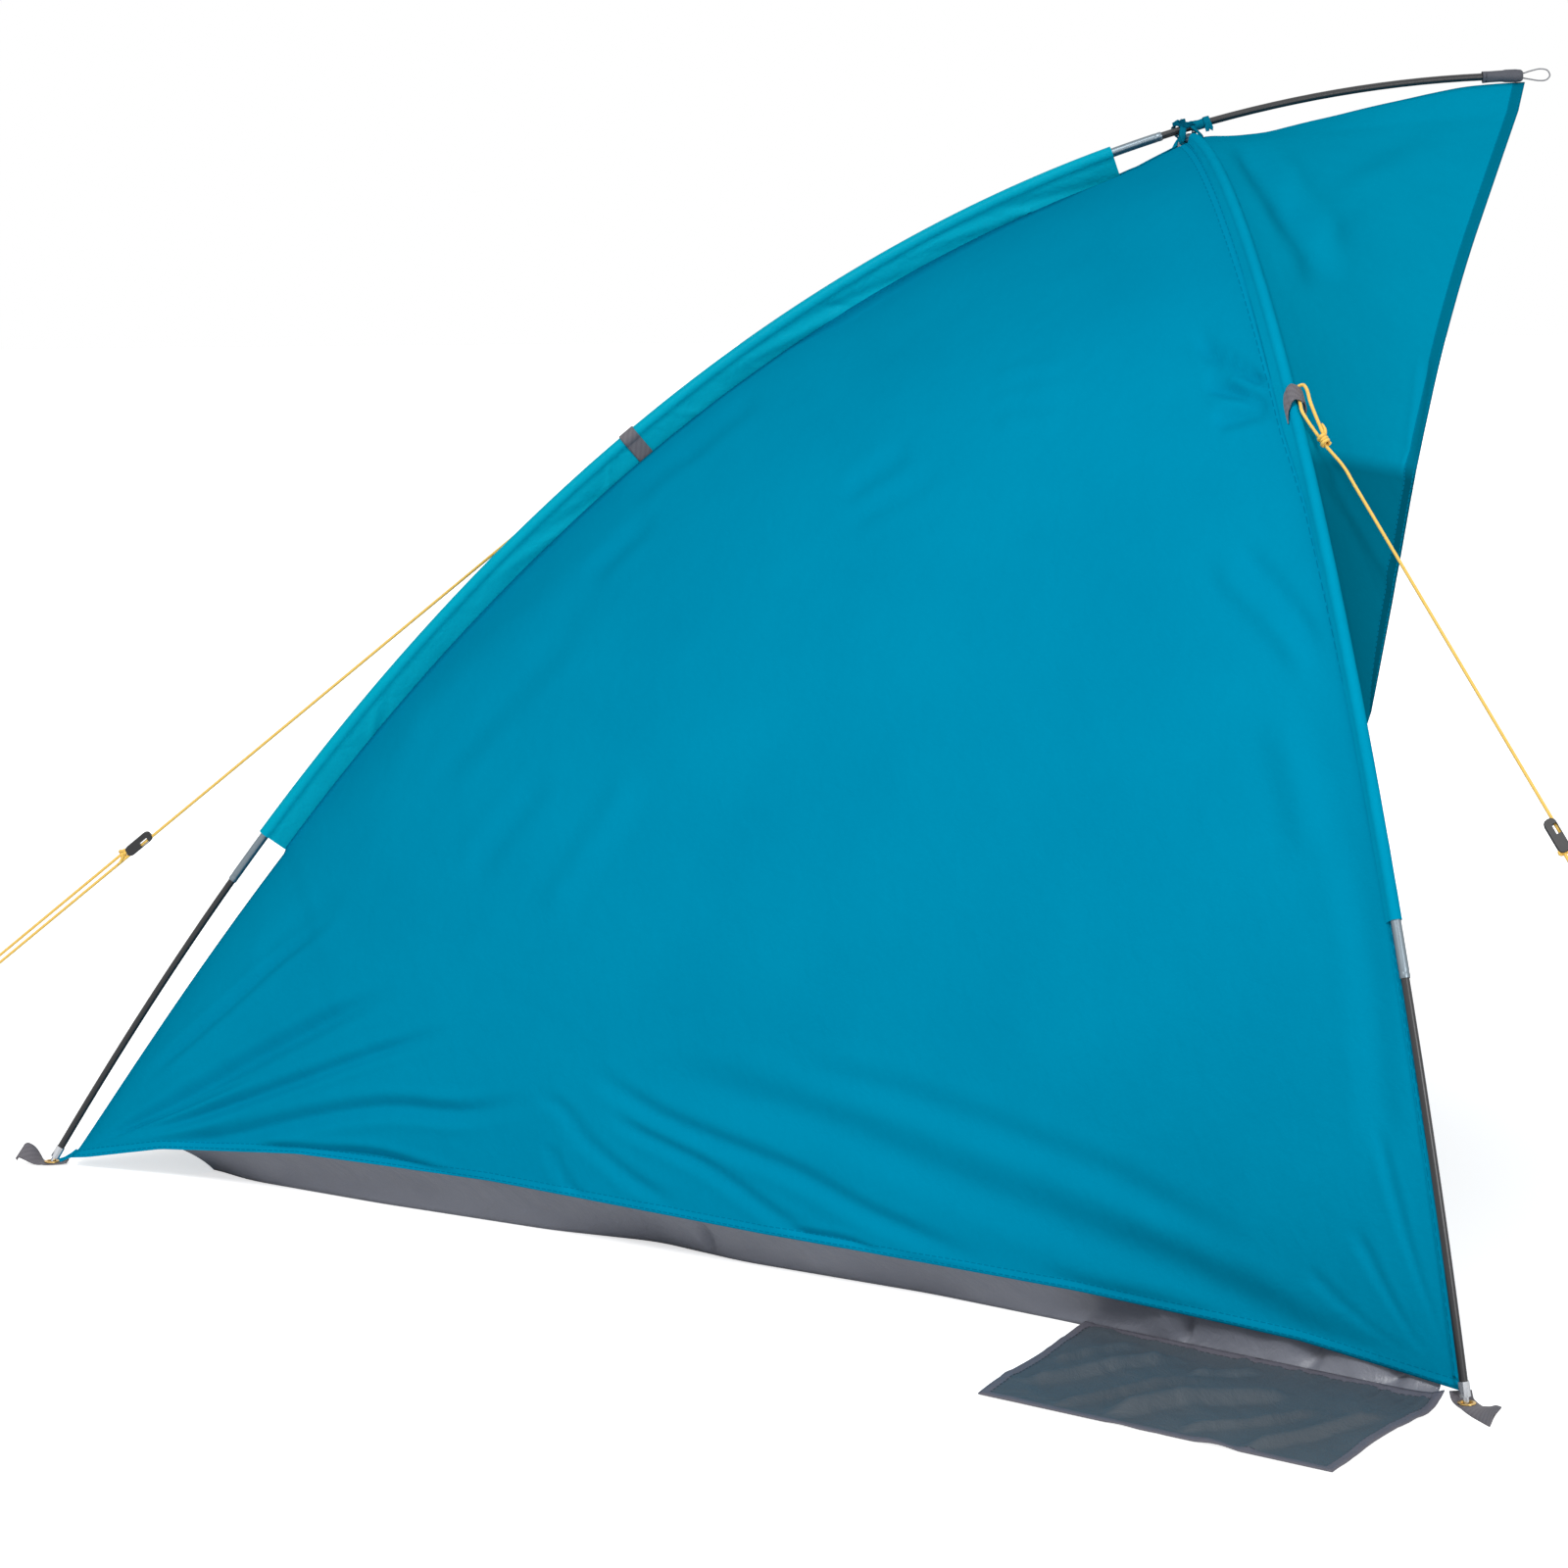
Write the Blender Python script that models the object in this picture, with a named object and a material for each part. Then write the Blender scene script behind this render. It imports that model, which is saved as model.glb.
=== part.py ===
# Beach tent: two bent poles, a fabric shelter over them, three feet and three guy lines.
# The feet line runs along X, the single rear foot stands at +Y and the awning points to -Y.
# The near side is -X and the far side is +X. All lengths are in metres.
import math

import bmesh
import bpy
import numpy as np
from mathutils import Matrix

# Poles
SEGMENT = 0.45
RIDGE_SEGMENTS = 5
ARCH_SEGMENTS = 8
ROD_R = 0.00425
ROD_BORE_R = 0.00225
ROD_SPANS = 3
FERRULE_R = 0.0053
FERRULE_BORE_R = 0.00455
FERRULE_HALF = 0.040
ELASTIC_R = 0.0012
GAP = 0.0003

# Ridge pole: slope at the rear foot, and bend per metre at its foot and at its tip
FEET_Y = -0.6365
DEPTH = 1.511
RIDGE_SLOPE = math.radians(58.75)
RIDGE_BEND_FOOT = 0.1525
RIDGE_BEND_TIP = 0.7483

# Arch pole: slope at its feet, and the share of its bend that is even along it
ARCH_SLOPE = math.radians(84.7)
ARCH_EVEN_BEND = 0.761
POLE_CROSSING = 0.0114

# Pole ends
PIN_R = 0.003
CAP_R = 0.0054
CAP_BORE_R = 0.0048
SHOULDER = 0.0085
FOOT_CAP_END = 0.024
ROD_START = 0.0102
FRONT_CAP = 0.030
FRONT_WALL = 0.016

# Cloth
CLOTH = 0.0008
GROUND_CLOTH = 0.001
FLAP_CLOTH = 0.0012
WEBBING = 0.0012

# Sleeves, as lengths along their poles, and the depth of their seams below the pole
SLEEVE_R = 0.0080
SLEEVE_WALL = 0.0008
SLEEVE_OPEN = math.radians(40)
RIDGE_SLEEVE = (0.478, 1.779)
RIDGE_SLEEVE_SPANS = 11
RIDGE_SEAM = 0.032
ARCH_SLEEVE = (0.467, 1.745)
ARCH_SLEEVE_SPANS = 14
ARCH_SEAM = 0.0165
ARCH_SEAM_LOW = 0.0115
ARCH_NARROW = (0.93, 1.03)
SEAM_ANGLE = math.radians(-35)
SEAM_GAP = 0.0012

# Side panels: bare edges near the feet, and the corner under the crossing of the poles
PANEL_FOOT = 0.03
PANEL_TOP = 1.835
PANEL_FOOT_DEPTH = 0.0155
PANEL_HANG = 0.016
PANEL_TOP_RISE = 0.008
FRONT_EDGE_FOOT = 0.022
FRONT_EDGE_TOP = 1.765
FRONT_EDGE_DEPTH = 0.0105
FOLD_HEIGHT = 0.006
SADDLE_DEPTH = 0.012
PANEL_OUT = (-0.6, 0.45, 0.66)

# Awning: its top edge against the length along the ridge pole and the drop below it
AWNING_TOP = ((1.888, 0.0146), (1.920, 0.0235), (1.960, 0.0290), (2.045, 0.0260),
              (2.128, 0.0190), (2.200, 0.0105), (2.262, 0.0084))
AWNING_LOW = 0.669
AWNING_TIP = (0.0, -0.236, 1.2655)
AWNING_CORNER = (-0.880, 0.050, 0.636)
AWNING_ROWS = 9
AWNING_SPANS = 12
AWNING_CLEAR = 0.0092
AWNING_CROWN_CLEAR = 0.012
AWNING_CROWN = 0.08
AWNING_SIDE = math.radians(205)
AWNING_HEM = ((0.0, -0.012), (0.17, 0.002), (0.32, 0.014), (0.47, 0.020), (0.65, 0.020),
              (0.83, 0.015), (1.0, 0.012))
AWNING_SLACK = 0.012

# Ribbons round the crossing, ribbon round the ridge pole that holds the awning, tip pocket
RIBBON_ACROSS = 0.0134
RIBBON_UP = 0.0119
RIBBON_HALF_WIDTH = 0.004
RIBBON_THICK = 0.0005
TIE_R = 0.0070
TIE_SPAN = (0.024, 0.032)
POCKET_LENGTH = 0.045
POCKET_R = 0.0074
POCKET_BORE_R = 0.0066
POCKET_NOSE = 0.0022
LOOP_CORD_R = 0.0009

# Sides: hem height and groundsheet edge against the share of the way from front to rear foot
HEM_HEIGHT = ((0.0, 0.013), (0.1, 0.032), (0.24, 0.042), (0.45, 0.047), (0.65, 0.057),
              (0.8, 0.054), (0.91, 0.036), (0.97, 0.014), (1.0, 0.007))
HEM_INWARD = 0.030
WALL_GAP = 0.0018
WALL_SAG = 0.004
GROUND_EDGE = ((0.016, 0.010), (0.25, -0.052), (0.35, -0.070), (0.48, -0.072), (0.55, -0.092),
               (0.62, -0.070), (0.75, -0.062), (0.86, -0.066), (0.9, -0.085))
FLOOR_COLUMNS = 6

# Sand flaps: corners as (distance from the front foot along the side, distance outwards)
FLAP_CORNERS = ((0.030, 0.0122), (0.452, -0.0474), (0.406, 0.225), (0.010, 0.262))
FLAP_WAVE = 0.010

# Feet
WEB_WIDTH = 0.022
WEB_HEIGHT = 0.0018
EYELET_R = 0.009
EYELET_BORE_R = 0.0052
EYELET_HEIGHT = 0.0035
EYELET_HOLE_R = 0.0061

# Guy lines
CORD_R = 0.0015
TUNNEL_R = 0.0100
BAND_MID_R = 0.0091
BAND_RISE = 0.0035
ARCH_TAB = 1.05
ARCH_TAB_WIDTH = 0.040
ARCH_TAB_ANGLES = range(12, 190, 16)
ARCH_TUNNEL = math.radians(130)
RIDGE_BAND = 1.122
RIDGE_BAND_WIDTH = 0.020
RIDGE_BAND_ANGLES = range(-42, 223, 12)
RIDGE_BAND_END = (0.00195, -0.0310)
RIDGE_TUNNEL = math.radians(5)
KNOT_AT = 0.055
STRAND = 0.0034
LOOP_R = 0.012
STRANDS_JOIN = 0.045
STRANDS_PARALLEL = 0.075
SIDE_GUY_END = (-1.25, -0.39, 0.0)
FAR_GUY_END = (-1.25, -0.24, 0.0)
SIDE_SLIDER_AT = 0.53
REAR_GUY_END = (0.08, 1.87, 0.0)
REAR_SLIDER_AT = 0.77
SLIDER = (0.038, 0.013, 0.0062)
SLIDER_BORE_R = 0.0018
SLIDER_RIM = 0.0009
SLIDER_WINDOW = (0.011, 0.0050)

NEAR, FAR = -1, 1


def clear_scene():
    for obj in list(bpy.data.objects):
        bpy.data.objects.remove(obj, do_unlink=True)


def make_material(name, colour, roughness, metallic=0.0):
    material = bpy.data.materials.new(name)
    material.use_nodes = True
    shader = material.node_tree.nodes["Principled BSDF"]
    shader.inputs["Base Color"].default_value = (*colour, 1.0)
    shader.inputs["Roughness"].default_value = roughness
    shader.inputs["Metallic"].default_value = metallic
    material.diffuse_color = (*colour, 1.0)
    return material


def unit(vector):
    vector = np.asarray(vector, float)
    return vector / np.linalg.norm(vector)


class Pole:
    """A pole bent in one plane, read by the length along it from its foot."""

    def __init__(self, lengths, slopes, foot, run_axis, rise_axis):
        step = lengths[1] - lengths[0]
        cos, sin = np.cos(slopes), np.sin(slopes)
        run = np.concatenate([[0.0], np.cumsum((cos[1:] + cos[:-1]) * step / 2)])
        rise = np.concatenate([[0.0], np.cumsum((sin[1:] + sin[:-1]) * step / 2)])
        self.lengths = lengths
        self.slopes = slopes
        self.run_axis = np.array(run_axis)
        self.rise_axis = np.array(rise_axis)
        self.side = np.cross(self.rise_axis, self.run_axis)
        self.points = np.array(foot) + np.outer(run, run_axis) + np.outer(rise, rise_axis)

    def at(self, s):
        return np.array([np.interp(s, self.lengths, self.points[:, i]) for i in range(3)])

    def out(self, s):
        slope = np.interp(s, self.lengths, self.slopes)
        return self.rise_axis * math.cos(slope) - self.run_axis * math.sin(slope)

    def tangent(self, s):
        slope = np.interp(s, self.lengths, self.slopes)
        return self.run_axis * math.cos(slope) + self.rise_axis * math.sin(slope)

    def place(self, s, across, outward):
        """A point beside the pole: across its plane, and outwards in it."""
        return self.at(s) + across * self.side + outward * self.out(s)

    def around(self, s, radius, angle):
        return self.place(s, radius * math.cos(angle), radius * math.sin(angle))

    def ring(self, s, radius, sides):
        turns = [2 * math.pi * k / sides for k in range(sides)]
        return np.array([self.around(s, radius, angle) for angle in turns])


def make_ridge():
    length = RIDGE_SEGMENTS * SEGMENT + FRONT_WALL
    lengths = np.linspace(0, length + 0.01, 2001)
    bend = RIDGE_BEND_TIP - RIDGE_BEND_FOOT
    slopes = RIDGE_SLOPE - RIDGE_BEND_FOOT * lengths - bend * lengths ** 2 / (2 * length)
    foot = (0.0, FEET_Y + DEPTH, 0.0)
    return Pole(lengths, slopes, foot, (0.0, -1.0, 0.0), (0.0, 0.0, 1.0)), length


def make_arch(ridge):
    """The arch leans until its crown just passes under the ridge pole."""
    half = ARCH_SEGMENTS * SEGMENT / 2
    lengths = np.linspace(0, 2 * half, 3201)
    share = np.minimum(lengths, 2 * half - lengths) / half
    slopes = ARCH_SLOPE * (1 - ARCH_EVEN_BEND * share - (1 - ARCH_EVEN_BEND) * share ** 3)
    slopes = np.where(lengths > half, -slopes, slopes)
    flat = Pole(lengths, slopes, (0.0, 0.0, 0.0), (1.0, 0.0, 0.0), (0.0, 0.0, 1.0))
    half_width, _, crown = flat.at(half)
    low, high = 1.6, 2.1
    for _ in range(40):
        crossing = (low + high) / 2
        under = ridge.place(crossing, 0.0, -POLE_CROSSING)
        if math.hypot(under[1] - FEET_Y, under[2]) < crown:
            low = crossing
        else:
            high = crossing
    lean = math.atan2(under[1] - FEET_Y, under[2])
    rise_axis = (0.0, math.sin(lean), math.cos(lean))
    arch = Pole(lengths, slopes, (-half_width, FEET_Y, 0.0), (1.0, 0.0, 0.0), rise_axis)
    return arch, 2 * half, half_width, crossing


def sided(points, side):
    """Near-side points as they are, or mirrored to the far side."""
    return np.asarray(points, float) * (1.0 if side == NEAR else np.array([-1.0, 1.0, 1.0]))


def add_object(name, mesh, material, sharp=35):
    mesh.materials.append(material)
    mesh.shade_smooth()
    mesh.set_sharp_from_angle(angle=math.radians(sharp))
    obj = bpy.data.objects.new(name, mesh)
    bpy.context.collection.objects.link(obj)
    return obj


def solid(name, vertices, faces, material, sharp=35):
    """A closed mesh with its faces turned outwards."""
    build = bmesh.new()
    points = [build.verts.new(vertex) for vertex in vertices]
    for face in faces:
        build.faces.new([points[k] for k in face])
    bmesh.ops.recalc_face_normals(build, faces=build.faces)
    mesh = bpy.data.meshes.new(name)
    build.to_mesh(mesh)
    build.free()
    return add_object(name, mesh, material, sharp)


def loft(name, outer, inner, material, sharp=35):
    """Rings joined along a path: a hollow tube, or a filled one where inner is None."""
    stations, sides = outer.shape[:2]
    loops = [outer] if inner is None else [outer, inner]
    vertices = np.concatenate([loop.reshape(-1, 3) for loop in loops])
    faces = []
    for skin in range(len(loops)):
        first = skin * stations * sides
        for i in range(stations - 1):
            for j in range(sides):
                a = first + i * sides + j
                b = first + i * sides + (j + 1) % sides
                faces.append((a, b, b + sides, a + sides))
    for end in (0, stations - 1):
        ring = [end * sides + j for j in range(sides)]
        if inner is None:
            faces.append(ring)
        else:
            bore = [stations * sides + k for k in ring]
            for j in range(sides):
                k = (j + 1) % sides
                faces.append((ring[j], ring[k], bore[k], bore[j]))
    return solid(name, vertices, faces, material, sharp)


def turned(name, rings, closed, material, sharp=35):
    """A turned piece from a list of rings. A ring of one point closes an end."""
    vertices, starts = [], []
    for ring in rings:
        starts.append((len(vertices), len(ring)))
        vertices.extend(ring)
    faces = []
    pairs = list(zip(starts, starts[1:]))
    if closed:
        pairs.append((starts[-1], starts[0]))
    for (a, count_a), (b, count_b) in pairs:
        sides = max(count_a, count_b)
        for j in range(sides):
            k = (j + 1) % sides
            if count_a == 1:
                faces.append((a, b + j, b + k))
            elif count_b == 1:
                faces.append((a + j, a + k, b))
            else:
                faces.append((a + j, a + k, b + k, b + j))
    return solid(name, vertices, faces, material, sharp)


def turned_on_pole(name, pole, profile, sides, material):
    """Turned about the pole: the profile is (length along the pole, radius)."""
    rings = [[pole.at(s)] if radius == 0 else list(pole.ring(s, radius, sides))
             for s, radius in profile]
    return turned(name, rings, False, material)


def cloth(name, grid, thickness, material, sharp=50):
    """A sheet of even thickness about a grid of points, both faces with the same triangles."""
    rows, columns = grid.shape[:2]
    mesh = bpy.data.meshes.new(name)
    faces = []
    for i in range(rows - 1):
        for j in range(columns - 1):
            a = i * columns + j
            faces.append((a, a + 1, a + columns + 1))
            faces.append((a, a + columns + 1, a + columns))
    mesh.from_pydata([tuple(point) for point in grid.reshape(-1, 3)], [], faces)
    obj = add_object(name, mesh, material, sharp)
    shell = obj.modifiers.new("Thickness", "SOLIDIFY")
    shell.thickness = thickness
    shell.offset = 0.0
    return obj


def cut(obj, cutter):
    cutter.hide_render = True
    cutter.display_type = "WIRE"
    boolean = obj.modifiers.new("Cut", "BOOLEAN")
    boolean.operation = "DIFFERENCE"
    boolean.solver = "EXACT"
    boolean.object = cutter
    return obj


# Poles

def rod_stations(start, end, whole_start, whole_end):
    """Lengths along one rod: its ends, the ends of its ferrules and even steps between."""
    low = start + FERRULE_HALF
    high = end - FERRULE_HALF
    middle = list(np.linspace(low, high, ROD_SPANS + 1))
    first = ROD_START if whole_start else start + GAP
    last = end - ROD_START if whole_end else end - GAP
    return [first] + middle + [last]


def make_poles(pole, prefix, segments, front_end, rod_material, steel, elastic_material):
    """Hollow rods that meet inside ferrules, on one elastic cord."""
    elastic = []
    for k in range(segments):
        last_rod = k == segments - 1
        stations = rod_stations(k * SEGMENT, (k + 1) * SEGMENT, k == 0, last_rod and not front_end)
        outer = np.array([pole.ring(s, ROD_R, 8) for s in stations])
        inner = np.array([pole.ring(s, ROD_BORE_R, 8) for s in stations])
        loft(f"{prefix}_rod_{k + 1}", outer, inner, rod_material)
        elastic += stations
    for k in range(1, segments):
        stations = [k * SEGMENT + offset for offset in (-FERRULE_HALF, 0.0, FERRULE_HALF)]
        outer = np.array([pole.ring(s, FERRULE_R, 8) for s in stations])
        inner = np.array([pole.ring(s, FERRULE_BORE_R, 8) for s in stations])
        loft(f"{prefix}_ferrule_{k}", outer, inner, steel)
    elastic[0] += GAP
    elastic[-1] -= GAP
    core = np.array([pole.ring(s, ELASTIC_R, 6) for s in elastic])
    loft(f"{prefix}_elastic_cord", core, None, elastic_material)


def foot_profile(slope):
    """Steel foot: round pin tip on the ground, a shoulder, and a cup over the rod's end."""
    tip = PIN_R / math.sin(slope) - PIN_R
    return [(tip, 0), (tip + 0.3 * PIN_R, 0.7 * PIN_R), (tip + PIN_R, PIN_R),
            (SHOULDER, PIN_R), (SHOULDER + 0.0006, CAP_R), (FOOT_CAP_END, CAP_R),
            (FOOT_CAP_END, CAP_BORE_R), (ROD_START - GAP, CAP_BORE_R), (ROD_START - GAP, 0)]


def make_pole_ends(ridge, ridge_length, arch, arch_length, steel):
    turned_on_pole("ridge_end_rear", ridge, foot_profile(RIDGE_SLOPE), 10, steel)
    profile = foot_profile(ARCH_SLOPE)
    turned_on_pole("arch_end_near", arch, profile, 10, steel)
    mirrored = [(arch_length - s, radius) for s, radius in profile]
    turned_on_pole("arch_end_far", arch, mirrored, 10, steel)
    rod_end = RIDGE_SEGMENTS * SEGMENT
    front = [(ridge_length, 0), (ridge_length, 0.7 * CAP_R), (ridge_length - 0.0015, CAP_R),
             (ridge_length - FRONT_CAP, CAP_R), (ridge_length - FRONT_CAP, CAP_BORE_R),
             (rod_end + GAP, CAP_BORE_R), (rod_end + GAP, 0)]
    turned_on_pole("ridge_end_front", ridge, front, 10, steel)


# Sleeves

def teardrop(radius, seam, tip_half, seam_angle, count=8):
    """Section round a pole: an arc about the pole and a flat tail to the seam."""
    start = seam_angle + SLEEVE_OPEN
    arc = np.linspace(start, start + 2 * (math.pi - SLEEVE_OPEN), count)
    points = [(radius * math.cos(a), radius * math.sin(a)) for a in arc]
    along = np.array([math.cos(seam_angle), math.sin(seam_angle)])
    beside = np.array([-along[1], along[0]])
    points.append(tuple(along * seam - beside * tip_half))
    points.append(tuple(along * seam + beside * tip_half))
    return points


def sleeve(name, pole, stations, seams, seam_angle, side, material):
    outer, inner = [], []
    for s, seam in zip(stations, seams):
        skin = teardrop(SLEEVE_R, seam, SLEEVE_WALL, seam_angle)
        bore_seam = max(seam * 0.8, SLEEVE_R + GAP)
        bore = teardrop(SLEEVE_R - SLEEVE_WALL, bore_seam, 0.3 * SLEEVE_WALL, seam_angle)
        outer.append([pole.place(s, *point) for point in skin])
        inner.append([pole.place(s, *point) for point in bore])
    return loft(name, sided(outer, side), sided(inner, side), material, 50)


def ridge_sleeve_stations():
    return list(np.linspace(*RIDGE_SLEEVE, RIDGE_SLEEVE_SPANS + 1))


def arch_sleeve_stations():
    return list(np.linspace(*ARCH_SLEEVE, ARCH_SLEEVE_SPANS + 1))


def arch_seam(s):
    return float(np.interp(s, ARCH_NARROW, (ARCH_SEAM_LOW, ARCH_SEAM)))


def make_sleeves(ridge, arch, material):
    stations = ridge_sleeve_stations()
    seams = [RIDGE_SEAM] * len(stations)
    sleeve("ridge_sleeve", ridge, stations, seams, math.radians(-90), NEAR, material)
    stations = arch_sleeve_stations()
    seams = [arch_seam(s) for s in stations]
    sleeve("arch_sleeve_near", arch, stations, seams, SEAM_ANGLE, NEAR, material)
    sleeve("arch_sleeve_far", arch, stations, seams, SEAM_ANGLE, FAR, material)


# Side panels

def side_line(half_width):
    """Near front foot, the way along the near side to the rear foot, and outwards."""
    front = np.array([-half_width, FEET_Y, 0.0])
    rear = np.array([0.0, FEET_Y + DEPTH, 0.0])
    along = unit(rear - front)
    outward = np.array([-along[1], along[0], 0.0])
    return front, along, outward, float(np.linalg.norm(rear - front))


def hem_point(share, half_width):
    front, along, outward, length = side_line(half_width)
    height = np.interp(share, *zip(*HEM_HEIGHT))
    inward = HEM_INWARD * (1 - abs(2 * share - 1) ** 3)
    return front + along * length * share - outward * inward + np.array([0, 0, height])


def ridge_edge(ridge, s):
    """Panel edge below the ridge pole: free near the foot, sewn under the sleeve above."""
    if s < RIDGE_SLEEVE[0]:
        depth = PANEL_FOOT_DEPTH + PANEL_HANG * math.sqrt(s / RIDGE_SLEEVE[0])
    else:
        past = max(0.0, (s - RIDGE_SLEEVE[1]) / (PANEL_TOP - RIDGE_SLEEVE[1]))
        depth = RIDGE_SEAM + SEAM_GAP - PANEL_TOP_RISE * past
    return ridge.place(s, 0.0, -depth) - np.array([CLOTH, 0, 0])


def arch_edge(arch, s):
    """Panel edge behind the arch pole: a bare hem low down, sewn to the sleeve above."""
    sewn = s >= ARCH_SLEEVE[0] - GAP
    depth = arch_seam(s) + SEAM_GAP if sewn else FRONT_EDGE_DEPTH
    return arch.around(s, depth, SEAM_ANGLE)


def panel_ridge_stations():
    low = np.linspace(PANEL_FOOT, RIDGE_SLEEVE[0], 5)[:-1]
    return list(low) + ridge_sleeve_stations() + [PANEL_TOP]


def panel_arch_stations():
    low = np.linspace(FRONT_EDGE_FOOT, ARCH_SLEEVE[0], 5)[:-1]
    return list(low) + arch_sleeve_stations() + [FRONT_EDGE_TOP]


def panel_grid(ridge, arch, half_width):
    """Cloth stretched from the rear foot to the arch, between the ridge and the hem."""
    ridge_s = panel_ridge_stations()
    arch_s = panel_arch_stations()
    shares = np.array(ridge_s) / ridge_s[-1]
    ridge_side = np.array([ridge_edge(ridge, s) for s in ridge_s])
    front_side = np.array([arch_edge(arch, s) for s in arch_s])
    hem = np.array([hem_point(1 - share, half_width) for share in shares])
    hem[-1] = front_side[0]
    front_side[-1] = ridge_side[-1]
    across = (np.array(arch_s) - arch_s[0]) / (arch_s[-1] - arch_s[0])
    grid = np.zeros((len(shares), len(across), 3))
    for j, share in enumerate(shares):
        grown = (share - shares[0]) / (1 - shares[0])
        for i, a in enumerate(across):
            straight = (1 - a) * hem[j] + a * ridge_side[j]
            bulge = front_side[i] - (1 - a) * front_side[0] - a * front_side[-1]
            grid[j, i] = straight + grown * bulge
            grid[j, i] += fold_lift(a, grown) * np.array(PANEL_OUT)
    return grid


def fold_lift(a, grown):
    """Soft folds that run out from the rear foot and fade at every edge."""
    fade = math.sin(math.pi * a) * math.sin(math.pi * grown)
    return fade * (FOLD_HEIGHT * math.sin(2 * math.pi * 2.2 * a + 0.4) - SADDLE_DEPTH)


def make_panels(ridge, arch, half_width, material):
    grid = panel_grid(ridge, arch, half_width)
    cloth("side_panel_near", sided(grid, NEAR), CLOTH, material)
    cloth("side_panel_far", sided(grid, FAR), CLOTH, material)


# Awning

def awning_line(arch, arch_length, s):
    """Points of one row from the arch pole forward to the awning's free hem."""
    half = arch_length / 2
    t = (half - s) / (half - AWNING_LOW)
    tip = np.array(AWNING_TIP) + np.array([0, FEET_Y, 0])
    corner = np.array(AWNING_CORNER) + np.array([0, FEET_Y, 0])
    hem = tip + t * (corner - tip)
    hem[1] += np.interp(t, *zip(*AWNING_HEM))
    clear = AWNING_CLEAR + AWNING_CROWN_CLEAR * max(0.0, 1 - (half - s) / AWNING_CROWN)
    start = arch.around(s, clear, AWNING_SIDE)
    row = []
    for v in np.linspace(0, 1, AWNING_ROWS):
        slack = AWNING_SLACK * 4 * v * (1 - v) * math.sin(math.pi * t) ** 0.7
        row.append(start + v * (hem - start) - slack * arch.out(s))
    return row


def awning_top(ridge):
    """The top edge: it hangs free below the ridge pole and meets it at the tip."""
    lengths, drops = zip(*AWNING_TOP)
    return [ridge.place(s, 0.0, -np.interp(s, lengths, drops))
            for s in np.linspace(lengths[0], lengths[-1], AWNING_ROWS)]


def make_awning(ridge, arch, arch_length, material):
    """One sheet over both sides, without a seam under the ridge pole."""
    stations = np.linspace(ARCH_SLEEVE[1], AWNING_LOW, AWNING_SPANS + 1)
    near = [awning_top(ridge)] + [awning_line(arch, arch_length, s) for s in stations]
    near = np.array(near)
    far = sided(near[1:], FAR)
    grid = np.concatenate([near[::-1], far])
    cloth("awning", grid, CLOTH, material)


# Groundsheet and sand flaps

def make_groundsheet(half_width, floor_shares, material):
    """Floor with low side walls that reach up to the panels' hems."""
    front, along, outward, length = side_line(half_width)
    rows = []
    for share in floor_shares:
        out = np.interp(share, *zip(*GROUND_EDGE))
        edge = front + along * length * share + outward * out
        edge[2] = GROUND_CLOTH / 2
        wall_top = hem_point(share, half_width) - np.array([0, 0, WALL_GAP])
        middle = (edge + wall_top) / 2 - outward * WALL_SAG
        inner = [np.array([x, edge[1], edge[2]])
                 for x in np.linspace(edge[0], -edge[0], FLOOR_COLUMNS + 1)]
        left = [wall_top, middle]
        rows.append(left + inner + [sided(point, FAR) for point in left[::-1]])
    cloth("groundsheet", np.array(rows), GROUND_CLOTH, material)


def flap_corners(half_width):
    front, along, outward, _ = side_line(half_width)
    height = np.array([0, 0, FLAP_CLOTH / 2])
    return [front + along * a + outward * out + height for a, out in FLAP_CORNERS]


def make_flap(name, side, half_width, material):
    """Sand flap: lies outwards on the ground and turns about its top seam."""
    seam_front, seam_rear, outer_rear, outer_front = flap_corners(half_width)
    rows = []
    for u in np.linspace(0, 1, 8):
        row = []
        for v in np.linspace(0, 1, 6):
            low = seam_front + u * (seam_rear - seam_front)
            high = outer_front + u * (outer_rear - outer_front)
            point = low + v * (high - low)
            wave = math.sin(math.pi * (u * 1.6 + v * 0.9)) ** 2
            row.append(point + np.array([0, 0, FLAP_WAVE * 4 * v * (1 - v) * wave]))
        rows.append(row)
    flap = cloth(name, sided(rows, side), FLAP_CLOTH, material)
    hinge = sided((seam_front + seam_rear) / 2, side)
    for vertex in flap.data.vertices:
        vertex.co = np.array(vertex.co) - hinge
    flap.location = hinge
    return flap


# Feet

def strip_grid(path, half_widths, columns=3):
    """A webbing strip along a path of points, with its half width as a vector at each."""
    shares = np.linspace(-1, 1, columns)
    return np.array([[point + share * half for share in shares]
                     for point, half in zip(path, half_widths)])


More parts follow.
